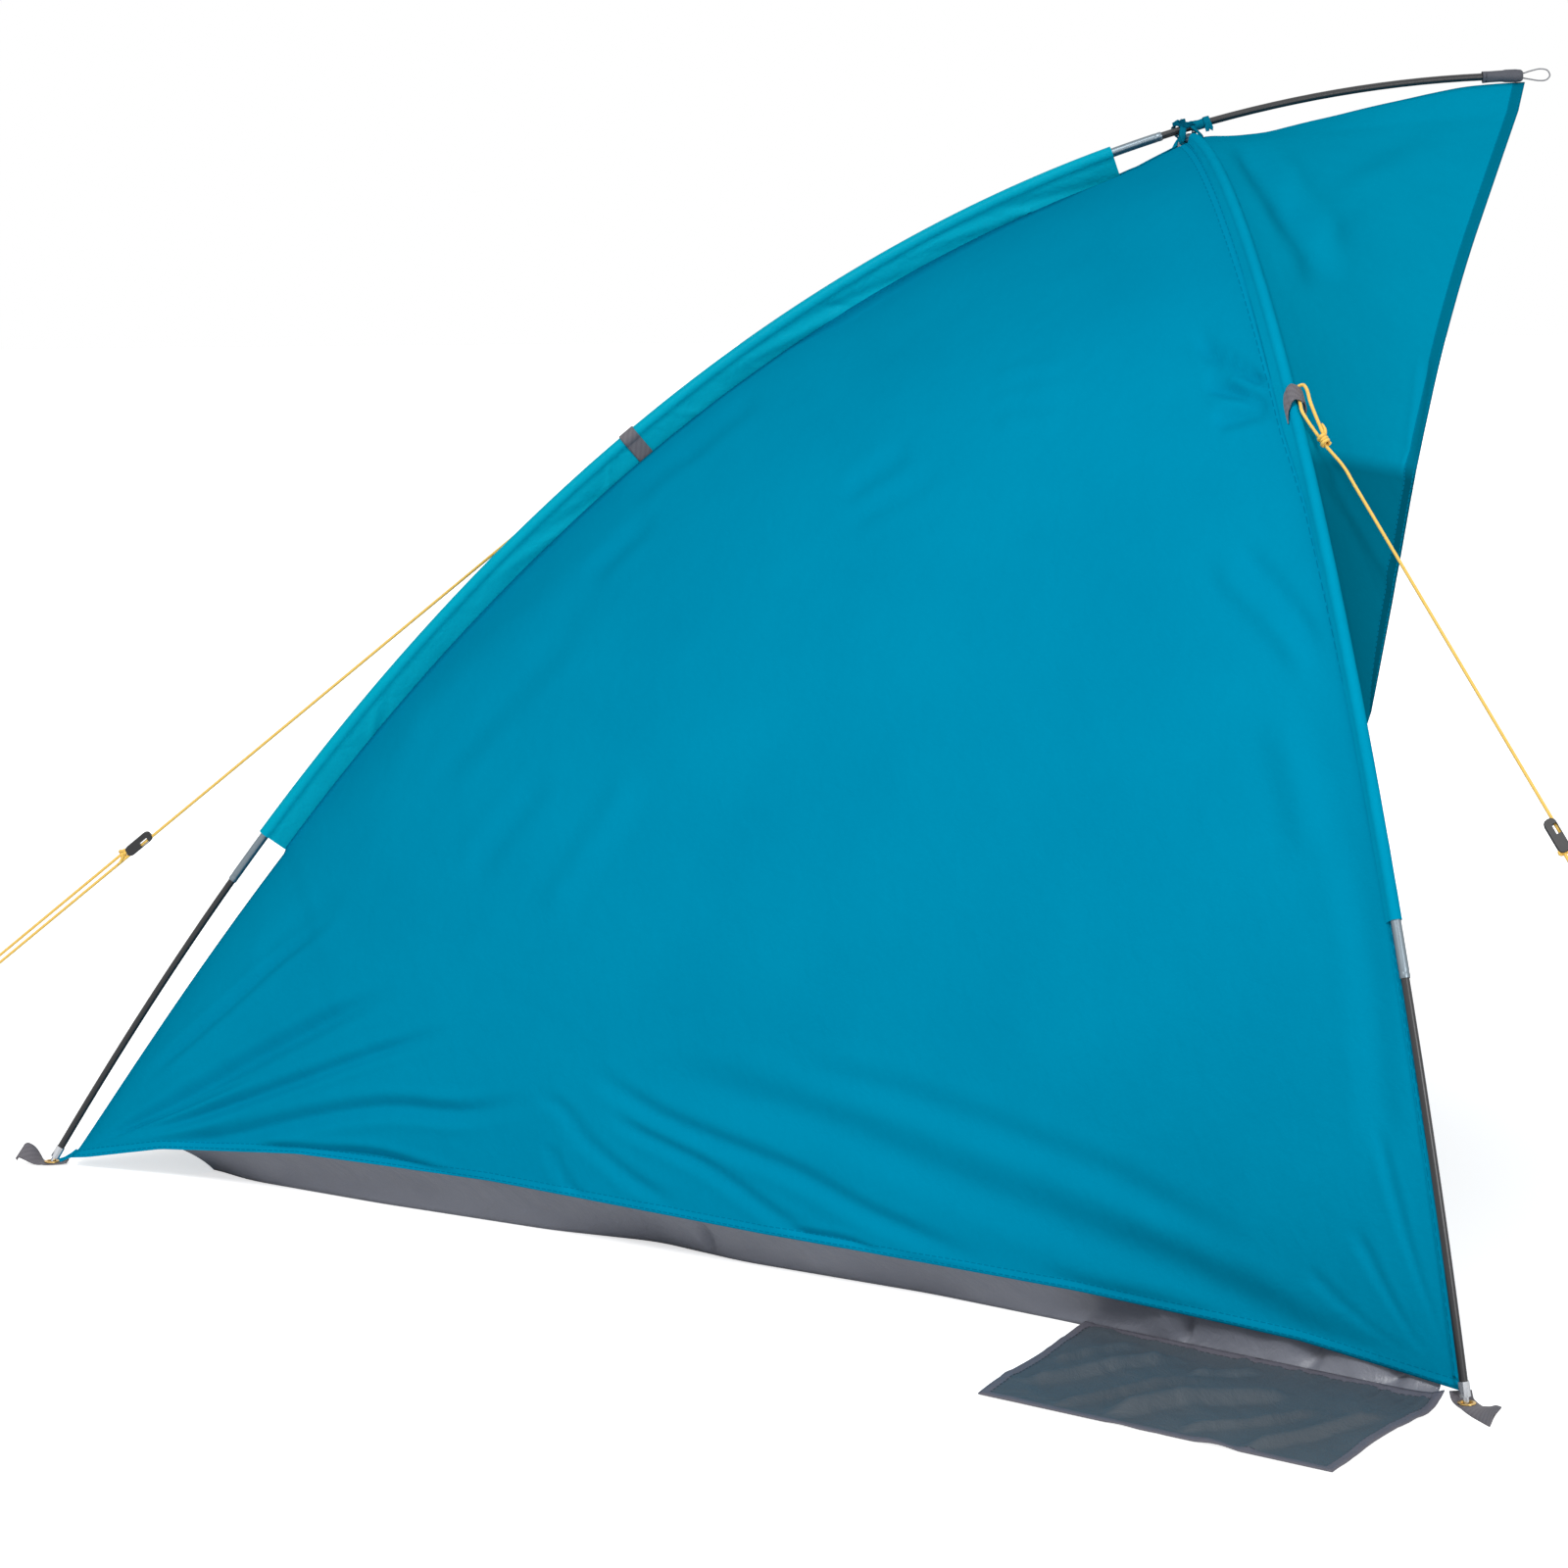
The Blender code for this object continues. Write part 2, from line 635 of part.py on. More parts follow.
def make_foot(name, pin, path, wide, web_material, brass):
    """Webbing tab with a brass eyelet, which the pole's pin stands in."""
    tab = cloth(f"foot_tab_{name}", strip_grid(path, wide), WEBBING, web_material)
    bpy.ops.mesh.primitive_cylinder_add(vertices=16, radius=EYELET_HOLE_R, depth=0.02,
                                        location=(pin[0], pin[1], WEB_HEIGHT))
    hole = bpy.context.active_object
    hole.name = f"cutter_{name}"
    cut(tab, hole)
    low, high = 0.0001, EYELET_HEIGHT
    flange = 0.0008
    barrel = EYELET_BORE_R + 0.0006
    profile = [(EYELET_BORE_R, low), (EYELET_R, low), (EYELET_R, low + flange),
               (barrel, low + flange), (barrel, high - flange), (EYELET_R, high - flange),
               (EYELET_R, high), (EYELET_BORE_R, high)]
    turns = [2 * math.pi * k / 12 for k in range(12)]
    rings = [[(pin[0] + r * math.cos(a), pin[1] + r * math.sin(a), z) for a in turns]
             for r, z in profile]
    turned(f"eyelet_{name}", rings, True, brass)


def make_feet(half_width, web_material, brass):
    rear = np.array([0.0, FEET_Y + DEPTH, 0.0])
    flat = WEB_HEIGHT
    rear_path = [rear + np.array([0, y, z]) for y, z in
                 ((-0.034, flat), (-0.012, flat), (0.012, flat), (0.018, 0.0045),
                  (0.023, 0.0085), (0.028, 0.0135), (0.0315, 0.0185))]
    half = WEB_WIDTH / 2
    turns = [math.radians(a) for a in (0, 0, 0, 12, 28, 45, 56)]
    tail = unit((0.0, -0.55, 0.83))
    rear_wide = [half * (math.cos(a) * np.array([1.0, 0, 0]) + math.sin(a) * tail) for a in turns]
    slant = PIN_R / math.tan(RIDGE_SLOPE) / 2
    pin = rear - np.array([0, slant, 0])
    make_foot("rear", pin, rear_path, rear_wide, web_material, brass)
    for name, side in (("near", NEAR), ("far", FAR)):
        front = np.array([-half_width, FEET_Y, 0.0])
        path = [front + np.array([x, y, z]) for x, y, z in
                ((0.030, 0.006, flat), (0.011, 0.002, flat), (-0.011, -0.003, flat),
                 (-0.028, -0.009, 0.0026), (-0.044, -0.016, 0.0058), (-0.058, -0.023, 0.0046))]
        steps = np.gradient(np.array(path), axis=0)
        wide = [half * unit((step[1], -step[0], 0.0)) for step in steps]
        make_foot(name, sided(front, side), sided(path, side), sided(wide, side),
                  web_material, brass)


# Tabs for the guy lines

def band_radius(angle, tunnel):
    """A band close on its sleeve that rises over the tunnel for the cord."""
    off = abs(math.remainder(angle - tunnel, 2 * math.pi))
    return BAND_MID_R + BAND_RISE * max(0.0, math.cos(min(off * 1.9, math.pi / 2))) ** 0.5


def band_section(degrees, tunnel):
    """Section of a band round its pole, as points across the pole's plane and outwards."""
    turns = [math.radians(a) for a in degrees]
    return [(band_radius(a, tunnel) * math.cos(a), band_radius(a, tunnel) * math.sin(a))
            for a in turns]


def band(name, pole, centre, width, section, side, material):
    rows = []
    for s in (centre - width / 2, centre, centre + width / 2):
        rows.append([pole.place(s, *point) for point in section])
    return cloth(name, sided(rows, side), WEBBING, material)


def make_tabs(ridge, arch, material):
    """Tabs over the arch sleeves, and a band over the ridge sleeve down to its seam."""
    section = band_section(ARCH_TAB_ANGLES, ARCH_TUNNEL)
    band("arch_tab_near", arch, ARCH_TAB, ARCH_TAB_WIDTH, section, NEAR, material)
    band("arch_tab_far", arch, ARCH_TAB, ARCH_TAB_WIDTH, section, FAR, material)
    across, down = RIDGE_BAND_END
    section = [(across, down)] + band_section(RIDGE_BAND_ANGLES, RIDGE_TUNNEL) + [(-across, down)]
    band("ridge_band", ridge, RIDGE_BAND, RIDGE_BAND_WIDTH, section, NEAR, material)


# Pieces at the crossing and the tip

def make_ribbon(name, ridge, crossing, turn, grow, material):
    """A ribbon tied slantwise round both poles where they cross."""
    centre = ridge.place(crossing, 0, -POLE_CROSSING / 2 - 0.0005)
    across = unit(ridge.side + turn * ridge.tangent(crossing))
    wide = unit(ridge.side - turn * ridge.tangent(crossing)) * RIBBON_HALF_WIDTH
    up = ridge.out(crossing)
    loops = []
    for extra in (grow + RIBBON_THICK, grow):
        loop = []
        for k in range(16):
            angle = 2 * math.pi * (k + 0.5) / 16
            cos, sin = math.cos(angle), math.sin(angle)
            size = (abs(cos) ** 3 + abs(sin) ** 3) ** (-1 / 3)
            loop.append(centre + across * (RIBBON_ACROSS + extra) * size * cos
                        + up * (RIBBON_UP + extra) * size * sin)
        loops.append(np.array([np.array(loop) - wide, np.array(loop) + wide]))
    return loft(name, loops[0], loops[1], material)


def make_crossing(ridge, ridge_length, crossing, ribbon_material, pocket_material):
    make_ribbon("apex_ribbon_1", ridge, crossing, 1, 0.0, ribbon_material)
    make_ribbon("apex_ribbon_2", ridge, crossing, -1, 2 * RIBBON_THICK, ribbon_material)
    tie = [crossing + along for along in TIE_SPAN]
    outer = np.array([ridge.ring(s, TIE_R, 8) for s in tie])
    inner = np.array([ridge.ring(s, TIE_R - CLOTH, 8) for s in tie])
    loft("awning_tie", outer, inner, ribbon_material)
    mouth = ridge_length - POCKET_LENGTH
    nose = ridge_length + POCKET_NOSE
    profile = [(nose, 0), (nose, 0.7 * POCKET_R), (ridge_length, POCKET_R), (mouth, POCKET_R),
               (mouth, POCKET_BORE_R), (ridge_length + 2 * GAP, POCKET_BORE_R),
               (ridge_length + 2 * GAP, 0)]
    turned_on_pole("tip_pocket", ridge, profile, 12, pocket_material)


def smooth_route(points, steps):
    """A smooth curve through the route's points, with steps pieces between two of them."""
    points = [np.array(p, float) for p in points]
    padded = [2 * points[0] - points[1]] + points + [2 * points[-1] - points[-2]]
    result = []
    for p0, p1, p2, p3 in zip(padded, padded[1:], padded[2:], padded[3:]):
        knots = [0.0]
        for a, b in ((p0, p1), (p1, p2), (p2, p3)):
            knots.append(knots[-1] + np.linalg.norm(b - a) ** 0.5)
        k0, k1, k2, k3 = knots
        for step in range(steps):
            k = k1 + (k2 - k1) * step / steps
            a1 = (k1 - k) / (k1 - k0) * p0 + (k - k0) / (k1 - k0) * p1
            a2 = (k2 - k) / (k2 - k1) * p1 + (k - k1) / (k2 - k1) * p2
            a3 = (k3 - k) / (k3 - k2) * p2 + (k - k2) / (k3 - k2) * p3
            b1 = (k2 - k) / (k2 - k0) * a1 + (k - k0) / (k2 - k0) * a2
            b2 = (k3 - k) / (k3 - k1) * a2 + (k - k1) / (k3 - k1) * a3
            result.append((k2 - k) / (k2 - k1) * b1 + (k - k1) / (k2 - k1) * b2)
    result.append(points[-1])
    return result


def cord(name, points, radius, material):
    curve = bpy.data.curves.new(name, "CURVE")
    curve.dimensions = "3D"
    curve.bevel_depth = radius
    curve.bevel_resolution = 2
    curve.use_fill_caps = True
    spline = curve.splines.new("POLY")
    spline.points.add(len(points) - 1)
    for target, point in zip(spline.points, points):
        target.co = (*point, 1.0)
    curve.materials.append(material)
    obj = bpy.data.objects.new(name, curve)
    bpy.context.collection.objects.link(obj)
    return obj


def make_tip_loop(ridge, ridge_length, material):
    """A thin cord loop sewn to the front of the tip pocket."""
    start = ridge_length + POCKET_NOSE + LOOP_CORD_R + 0.1 * GAP
    nose = ridge.at(start)
    forward = ridge.tangent(ridge_length)
    up = ridge.out(ridge_length)
    route = [nose + forward * f + up * u for f, u in
             ((0, 0.0028), (0.010, 0.0058), (0.020, 0.0076), (0.028, 0.0058), (0.031, 0.0),
              (0.027, -0.0050), (0.018, -0.0058), (0.008, -0.0042), (0, -0.0028))]
    cord("tip_loop", smooth_route(route, 2), LOOP_CORD_R, material)


# Guy lines and sliders

def guy_frame(low, high, end, slider_at):
    """Line from the middle of the tab to the ground: start, direction and sideways."""
    middle = (low + high) / 2
    along = unit(end - middle)
    sideways = unit(np.cross(along, (1.0, 0.0, 0.0)))
    knot = middle + along * KNOT_AT
    slider = middle + along * slider_at
    return knot, along, sideways, slider


def guy_route(low, high, outside, end, slider_at):
    """Return strand, loop on the ground, main strand and the loop through the tab."""
    knot, along, sideways, slider = guy_frame(low, high, end, slider_at)
    lift = math.hypot(along[2], sideways[2]) * LOOP_R + 1.1 * CORD_R
    centre = end + along * ((lift - end[2]) / along[2])
    run = float(np.dot(centre - knot, along))
    at_slider = float(np.dot(slider - knot, along))
    low_end = at_slider + SLIDER[0] / 2 - 0.005
    back = [knot + along * d - sideways * STRAND
            for d in (low_end, run - STRANDS_PARALLEL, run - STRANDS_JOIN)]
    loop = [centre + LOOP_R * (math.cos(a) * along + math.sin(a) * sideways)
            for a in np.radians([-115, -70, -25, 25, 70, 115])]
    main = [knot + along * d + sideways * STRAND
            for d in (run - STRANDS_JOIN, run - STRANDS_PARALLEL, at_slider, 0.060, 0.035)]
    turn = unit(high - low)
    beside = 1.2 * CORD_R * unit(outside - along * np.dot(outside, along))
    rise = [knot - beside, low - turn * 0.012, low, high]
    over = [high + turn * 0.010 + outside * 0.003, high + turn * 0.014 + outside * 0.009,
            high + turn * 0.008 + outside * 0.015, high - turn * 0.012 + outside * 0.017,
            low - turn * 0.005 + outside * 0.014, knot + beside - along * 0.004]
    return back + loop + main + rise + over


def make_slider(name, centre, along, sideways, material):
    """A stadium block with two lengthwise bores and a window onto the main strand."""
    length, width, thick = SLIDER
    rim = SLIDER_RIM / thick
    levels = []
    for inset, height in ((SLIDER_RIM, -0.5), (0, -0.5 + rim), (0, 0.5 - rim), (SLIDER_RIM, 0.5)):
        level = []
        for corner in range(4):
            middle = math.pi / 4 + corner * math.pi / 2
            radius = width * 0.42
            x = math.copysign(length / 2 - radius, math.cos(middle))
            y = math.copysign(width / 2 - radius, math.sin(middle))
            for step in (-0.7, -0.25, 0.25, 0.7):
                angle = middle + step * math.pi / 4 / 0.7
                level.append((x + (radius - inset) * math.cos(angle),
                              y + (radius - inset) * math.sin(angle), height * thick))
        levels.append(level)
    block = loft(name, np.array(levels), None, material)
    third = np.cross(along, sideways)
    placed = np.eye(4)
    placed[:3, 0], placed[:3, 1], placed[:3, 2], placed[:3, 3] = along, sideways, third, centre
    for offset in (STRAND, -STRAND):
        bpy.ops.mesh.primitive_cylinder_add(vertices=12, radius=SLIDER_BORE_R,
                                            depth=length * 1.5)
        bore = bpy.context.active_object
        bore.name = f"cutter_{name}_{'main' if offset > 0 else 'back'}"
        for vertex in bore.data.vertices:
            x, y, z = vertex.co
            vertex.co = (z, y + offset, -x)
        bore.matrix_world = Matrix(placed.tolist())
        cut(block, bore)
    bpy.ops.mesh.primitive_cube_add(size=1.0)
    window = bpy.context.active_object
    window.name = f"cutter_{name}_window"
    for vertex in window.data.vertices:
        x, y, z = vertex.co
        vertex.co = (x * SLIDER_WINDOW[0] - length * 0.17,
                     y * SLIDER_WINDOW[1] + STRAND - 1.3 * GAP, z * thick * 2)
    window.matrix_world = Matrix(placed.tolist())
    cut(block, window)
    block.matrix_world = Matrix(placed.tolist())
    return block


def make_guy(name, low, high, outside, end, slider_at, side, cord_material, slider_material):
    route = guy_route(low, high, outside, end, slider_at)
    cord(f"guy_line_{name}", sided(smooth_route(route, 2), side), CORD_R, cord_material)
    _, along, sideways, slider = guy_frame(low, high, end, slider_at)
    make_slider(f"slider_{name}", sided(slider, side), sided(along, side),
                sided(sideways, side), slider_material)


def make_guys(ridge, arch, cord_material, slider_material):
    feet = np.array([0, FEET_Y, 0])
    low = arch.around(ARCH_TAB - ARCH_TAB_WIDTH / 2, TUNNEL_R, ARCH_TUNNEL)
    high = arch.around(ARCH_TAB + ARCH_TAB_WIDTH / 2, TUNNEL_R, ARCH_TUNNEL)
    outside = unit(arch.around(ARCH_TAB, 1.0, math.radians(150)) - arch.at(ARCH_TAB))
    for name, side, end in (("near", NEAR, SIDE_GUY_END), ("far", FAR, FAR_GUY_END)):
        make_guy(name, low, high, outside, np.array(end) + feet, SIDE_SLIDER_AT,
                 side, cord_material, slider_material)
    low = ridge.around(RIDGE_BAND - RIDGE_BAND_WIDTH / 2, TUNNEL_R, RIDGE_TUNNEL)
    high = ridge.around(RIDGE_BAND + RIDGE_BAND_WIDTH / 2, TUNNEL_R, RIDGE_TUNNEL)
    outside = unit(ridge.around(RIDGE_BAND, 1.0, math.radians(20)) - ridge.at(RIDGE_BAND))
    make_guy("rear", low, high, outside, np.array(REAR_GUY_END) + feet, REAR_SLIDER_AT, NEAR,
             cord_material, slider_material)


def main():
    clear_scene()
    fibreglass = make_material("fibreglass", (0.02, 0.02, 0.022), 0.35)
    steel = make_material("steel", (0.62, 0.62, 0.63), 0.3, 1.0)
    elastic = make_material("elastic", (0.75, 0.75, 0.73), 0.8)
    teal = make_material("teal_fabric", (0.004, 0.26, 0.40), 0.5)
    grey = make_material("grey_fabric", (0.10, 0.11, 0.13), 0.6)
    web = make_material("webbing", (0.14, 0.13, 0.14), 0.8)
    brass = make_material("brass", (0.75, 0.53, 0.24), 0.35, 1.0)
    yellow = make_material("yellow_cord", (0.90, 0.55, 0.10), 0.7)
    black = make_material("black_plastic", (0.012, 0.012, 0.013), 0.45)

    ridge, ridge_length = make_ridge()
    arch, arch_length, half_width, crossing = make_arch(ridge)
    make_poles(ridge, "ridge", RIDGE_SEGMENTS, True, fibreglass, steel, elastic)
    make_poles(arch, "arch", ARCH_SEGMENTS, False, fibreglass, steel, elastic)
    make_pole_ends(ridge, ridge_length, arch, arch_length, steel)
    make_sleeves(ridge, arch, teal)
    make_panels(ridge, arch, half_width, teal)
    make_awning(ridge, arch, arch_length, teal)
    stations = panel_ridge_stations()
    floor_shares = [1 - s / stations[-1] for s in stations]
    floor_shares = [share for share in floor_shares if 0.03 < share < 0.9][::-1]
    make_groundsheet(half_width, floor_shares, grey)
    make_flap("sand_flap_near", NEAR, half_width, grey)
    make_flap("sand_flap_far", FAR, half_width, grey)
    make_feet(half_width, web, brass)
    make_tabs(ridge, arch, web)
    make_crossing(ridge, ridge_length, crossing, teal, grey)
    make_tip_loop(ridge, ridge_length, grey)
    make_guys(ridge, arch, yellow, black)
    print("arch half width", round(half_width, 4), "crossing at", round(crossing, 4))


main()
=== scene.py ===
# %% [markdown]
# # Beach tent
# This lesson dresses a imported CAD model of a small beach tent: two bent poles, a teal fabric
# shelter, a grey groundsheet and three yellow guy lines. The CAD model is the fixed frame.
# Every piece made here lies where its CAD node lies; all but the return strands and the sand flaps
# ride on the same body.

# %% Load the frame
import math

import bmesh
import bpy
import numpy as np
from mathutils import Matrix, Vector, noise


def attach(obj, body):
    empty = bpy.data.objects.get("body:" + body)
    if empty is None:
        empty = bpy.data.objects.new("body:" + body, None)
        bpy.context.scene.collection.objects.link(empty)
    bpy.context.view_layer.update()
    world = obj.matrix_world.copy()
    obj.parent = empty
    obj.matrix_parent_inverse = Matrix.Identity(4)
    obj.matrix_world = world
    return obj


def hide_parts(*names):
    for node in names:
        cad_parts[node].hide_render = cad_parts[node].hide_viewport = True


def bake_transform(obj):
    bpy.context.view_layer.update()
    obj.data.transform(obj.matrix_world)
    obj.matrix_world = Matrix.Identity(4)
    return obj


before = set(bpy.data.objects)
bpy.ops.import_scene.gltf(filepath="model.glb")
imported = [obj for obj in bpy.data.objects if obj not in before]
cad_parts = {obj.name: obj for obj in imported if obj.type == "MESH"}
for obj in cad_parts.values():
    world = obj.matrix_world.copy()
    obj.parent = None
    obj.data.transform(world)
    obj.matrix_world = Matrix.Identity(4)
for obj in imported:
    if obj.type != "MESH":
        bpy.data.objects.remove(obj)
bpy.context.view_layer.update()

# %% [markdown]
# ## The two poles
# A fibreglass pole that is pushed into its sleeve bends evenly, a little more where the cloth
# pulls hardest. Each pole is therefore one curve in a plane whose slope falls along its length.
# All cloth edges are read from these two curves, so nothing has to be fitted by eye.

# %% Read a pole by the length along it
SEGMENT = 0.45
FEET_Y = -0.6365
DEPTH = 1.511
RIDGE_END = 5 * SEGMENT + 0.016
ARCH_END = 8 * SEGMENT
POLE_CROSSING = 0.0114
RIDGE_FOOT_SLOPE = math.radians(58.75)


def unit(vector):
    vector = np.asarray(vector, float)
    return vector / np.linalg.norm(vector)


class Pole:
    """A pole bent in one plane, read by the length along it from its foot."""

    def __init__(self, lengths, slopes, foot, run_axis, rise_axis):
        step = lengths[1] - lengths[0]
        cos, sin = np.cos(slopes), np.sin(slopes)
        run = np.concatenate([[0.0], np.cumsum((cos[1:] + cos[:-1]) * step / 2)])
        rise = np.concatenate([[0.0], np.cumsum((sin[1:] + sin[:-1]) * step / 2)])
        self.lengths = lengths
        self.slopes = slopes
        self.run_axis = np.array(run_axis)
        self.rise_axis = np.array(rise_axis)
        self.side = np.cross(self.rise_axis, self.run_axis)
        self.points = np.array(foot) + np.outer(run, run_axis) + np.outer(rise, rise_axis)

    def at(self, s):
        return np.array([np.interp(s, self.lengths, self.points[:, i]) for i in range(3)])

    def out(self, s):
        slope = np.interp(s, self.lengths, self.slopes)
        return self.rise_axis * math.cos(slope) - self.run_axis * math.sin(slope)

    def tangent(self, s):
        slope = np.interp(s, self.lengths, self.slopes)
        return self.run_axis * math.cos(slope) + self.rise_axis * math.sin(slope)

    def place(self, s, across, outward):
        return self.at(s) + across * self.side + outward * self.out(s)

    def around(self, s, radius, angle):
        return self.place(s, radius * math.cos(angle), radius * math.sin(angle))


def bend_ridge():
    lengths = np.linspace(0, RIDGE_END + 0.01, 2001)
    bend_foot, bend_tip = 0.1525, 0.7483
    slopes = (RIDGE_FOOT_SLOPE - bend_foot * lengths
              - (bend_tip - bend_foot) * lengths ** 2 / (2 * RIDGE_END))
    return Pole(lengths, slopes, (0, FEET_Y + DEPTH, 0), (0, -1, 0), (0, 0, 1))


def bend_arch(ridge):
    """The arch leans until its crown just passes under the ridge pole."""
    half = ARCH_END / 2
    even = 0.761
    lengths = np.linspace(0, ARCH_END, 3201)
    share = np.minimum(lengths, ARCH_END - lengths) / half
    slopes = math.radians(84.7) * (1 - even * share - (1 - even) * share ** 3)
    slopes = np.where(lengths > half, -slopes, slopes)
    flat = Pole(lengths, slopes, (0, 0, 0), (1, 0, 0), (0, 0, 1))
    half_width, _, crown = flat.at(half)
    low, high = 1.6, 2.1
    for _ in range(40):
        crossing = (low + high) / 2
        under = ridge.place(crossing, 0.0, -POLE_CROSSING)
        if math.hypot(under[1] - FEET_Y, under[2]) < crown:
            low = crossing
        else:
            high = crossing
    lean = math.atan2(under[1] - FEET_Y, under[2])
    rise_axis = (0.0, math.sin(lean), math.cos(lean))
    pole = Pole(lengths, slopes, (-half_width, FEET_Y, 0), (1, 0, 0), rise_axis)
    return pole, half_width, crossing


ridge = bend_ridge()
arch, HALF_WIDTH, CROSSING = bend_arch(ridge)
print("half width", round(HALF_WIDTH, 4), "poles cross at", round(CROSSING, 4))

# %% [markdown]
# ## Camera
# The photograph was taken from the near side, a little above the ground, with a long lens.
# The camera's place comes from a fit of the CAD model's corners to the same corners in it.

# %% Set the camera
AZIMUTH = math.radians(269.194)
ELEVATION = math.radians(7.760)
ROLL = math.radians(-0.496)

forward = Vector((-math.sin(AZIMUTH) * math.cos(ELEVATION),
                  math.cos(AZIMUTH) * math.cos(ELEVATION), -math.sin(ELEVATION)))
level = forward.cross(Vector((0, 0, 1))).normalized()
upright = level.cross(forward)
right = level * math.cos(ROLL) + upright * math.sin(ROLL)
above = right.cross(forward)

lens = bpy.data.cameras.new("camera")
lens.sensor_width = 36.0
lens.lens = 97.914
lens.clip_end = 100.0
camera = bpy.data.objects.new("camera", lens)
bpy.context.collection.objects.link(camera)
turn = Matrix((right, above, -forward)).transposed().to_4x4()
camera.matrix_world = Matrix.Translation((-5.02745, 0.06089, 1.13599)) @ turn
bpy.context.scene.camera = camera
print("camera at", tuple(round(c, 3) for c in camera.location))

# %% [markdown]
# ## Nodes for materials
# A material is a small network. One function adds a node, sets its values and joins its
# inputs, so that each material below reads as a list of what the real finish is made of.

# %% Helper for material nodes
WAVE_PERIOD = 0.314   # of a wave texture at scale 1, in metres


def hex_colour(code):
    """An sRGB hex colour as the linear colour that Blender's sockets take."""
    values = [int(code[i:i + 2], 16) / 255 for i in (1, 3, 5)]
    linear = [v / 12.92 if v <= 0.04045 else ((v + 0.055) / 1.055) ** 2.4 for v in values]
    return (*linear, 1.0)


def set_inputs(tree, node, inputs):
    """Set a node's inputs. A tuple of a node and an output becomes a link."""
    for name, value in inputs.items():
        if isinstance(value, tuple) and isinstance(value[0], bpy.types.Node):
            tree.links.new(value[0].outputs[value[1]], node.inputs[name])
        else:
            node.inputs[name].default_value = value


def add_node(tree, kind, inputs=None, **settings):
    """Add a node with its settings, its values and its links."""
    node = tree.nodes.new(kind)
    for name, value in settings.items():
        setattr(node, name, value)
    set_inputs(tree, node, inputs or {})
    return node


def new_material(name):
    material = bpy.data.materials.new(name)
    material.use_nodes = True
    return material, material.node_tree, material.node_tree.nodes["Principled BSDF"]

# %% [markdown]
# ## Floor, world and lamps
# The tent was photographed on white with almost no shadow. A large plane catches what is left
# of it. For camera rays the plane glows, more with the distance from the tent, so that it reads
# as endless white paper without more light on the tent itself. The key lamp stands high on the
# near side, a little behind the tent, and a wide weak lamp fills from the front.

# %% Stage and lamps
# the floor glows with 0.58 within 0.6 m of the tent's middle, and with 1.0 beyond 1.7 m
GLOW = {"From Min": 0.6, "From Max": 1.7, "To Min": 0.58, "To Max": 1.0}
WORLD_LIGHT = 0.40


def set_stage():
    bpy.ops.object.select_all(action="DESELECT")
    bpy.ops.mesh.primitive_plane_add(size=60, location=(0, 0, -0.0006))
    floor = bpy.context.active_object
    floor.name = "floor"
    material, tree, shader = new_material("white_floor")
    path = add_node(tree, "ShaderNodeLightPath")
    place = add_node(tree, "ShaderNodeTexCoord")
    far = add_node(tree, "ShaderNodeVectorMath", {0: (place, "Object")}, operation="LENGTH")
    level = add_node(tree, "ShaderNodeMapRange", {"Value": (far, "Value"), **GLOW})
    glow = add_node(tree, "ShaderNodeMath", {0: (path, "Is Camera Ray"), 1: (level, "Result")},
                    operation="MULTIPLY")
    set_inputs(tree, shader, {"Base Color": hex_colour("#F2F2F2"), "Roughness": 0.9,
                              "Specular IOR Level": 0.1, "Emission Color": (1, 1, 1, 1),
                              "Emission Strength": (glow, "Value")})
    floor.data.materials.append(material)

    world = bpy.data.worlds.new("studio")
    bpy.context.scene.world = world
    world.use_nodes = True
    tree = world.node_tree
    path = add_node(tree, "ShaderNodeLightPath")
    seen = (path, "Is Camera Ray")
    for ray in ("Is Transmission Ray", "Is Glossy Ray"):
        either = add_node(tree, "ShaderNodeMath", {0: seen, 1: (path, ray)},
                          operation="MAXIMUM")
        seen = (either, "Value")
    level = add_node(tree, "ShaderNodeMapRange", {"Value": seen, "To Min": WORLD_LIGHT,
                                                  "To Max": 1.0})
    set_inputs(tree, tree.nodes["Background"], {"Color": (1, 1, 1, 1),
                                                "Strength": (level, "Result")})


def soft_lamp(name, azimuth, elevation, distance, size, power):
    lamp = bpy.data.lights.new(name, "AREA")
    lamp.size = size
    lamp.energy = power
    obj = bpy.data.objects.new(name, lamp)
    a, e = math.radians(azimuth), math.radians(elevation)
    place = Vector((math.sin(a) * math.cos(e), -math.cos(a) * math.cos(e), math.sin(e)))
    obj.location = place * distance + Vector((0, 0, 0.5))
    obj.rotation_euler = place.to_track_quat("Z", "Y").to_euler()
    bpy.context.collection.objects.link(obj)


set_stage()
soft_lamp("key_lamp", 243, 46, 6.0, 1.6, 190)
soft_lamp("front_fill", 300, 12, 7.0, 3.0, 135)
bpy.context.scene.view_settings.view_transform = "Standard"
print("stage and lamps set")

# %% [markdown]
# ## Cords first
# Three guy lines hold the tent. Each is one yellow braided cord, 3.6 mm thick: it is knotted round
# its webbing tab, runs down through the slider, round the peg as a loop, and back up to the
# slider, where a knot stops it. When the slider moves, the strand below it grows or shrinks.
# So each line is two pieces: the long part stays with the tent, and the return strand runs from
# the slider to the ground loop; it is built in one shape and is not attached to a body.

# %% Route of one guy line
CORD_R = 0.0018
STRAND = 0.0034
LOOP_R = 0.012
STRANDS_JOIN, STRANDS_PARALLEL = 0.045, 0.075
KNOT_AT = 0.055
SLIDER_LENGTH = 0.038
TUNNEL_R = 0.0100
NEAR, FAR = -1, 1
SIDES = (("near", NEAR), ("far", FAR))


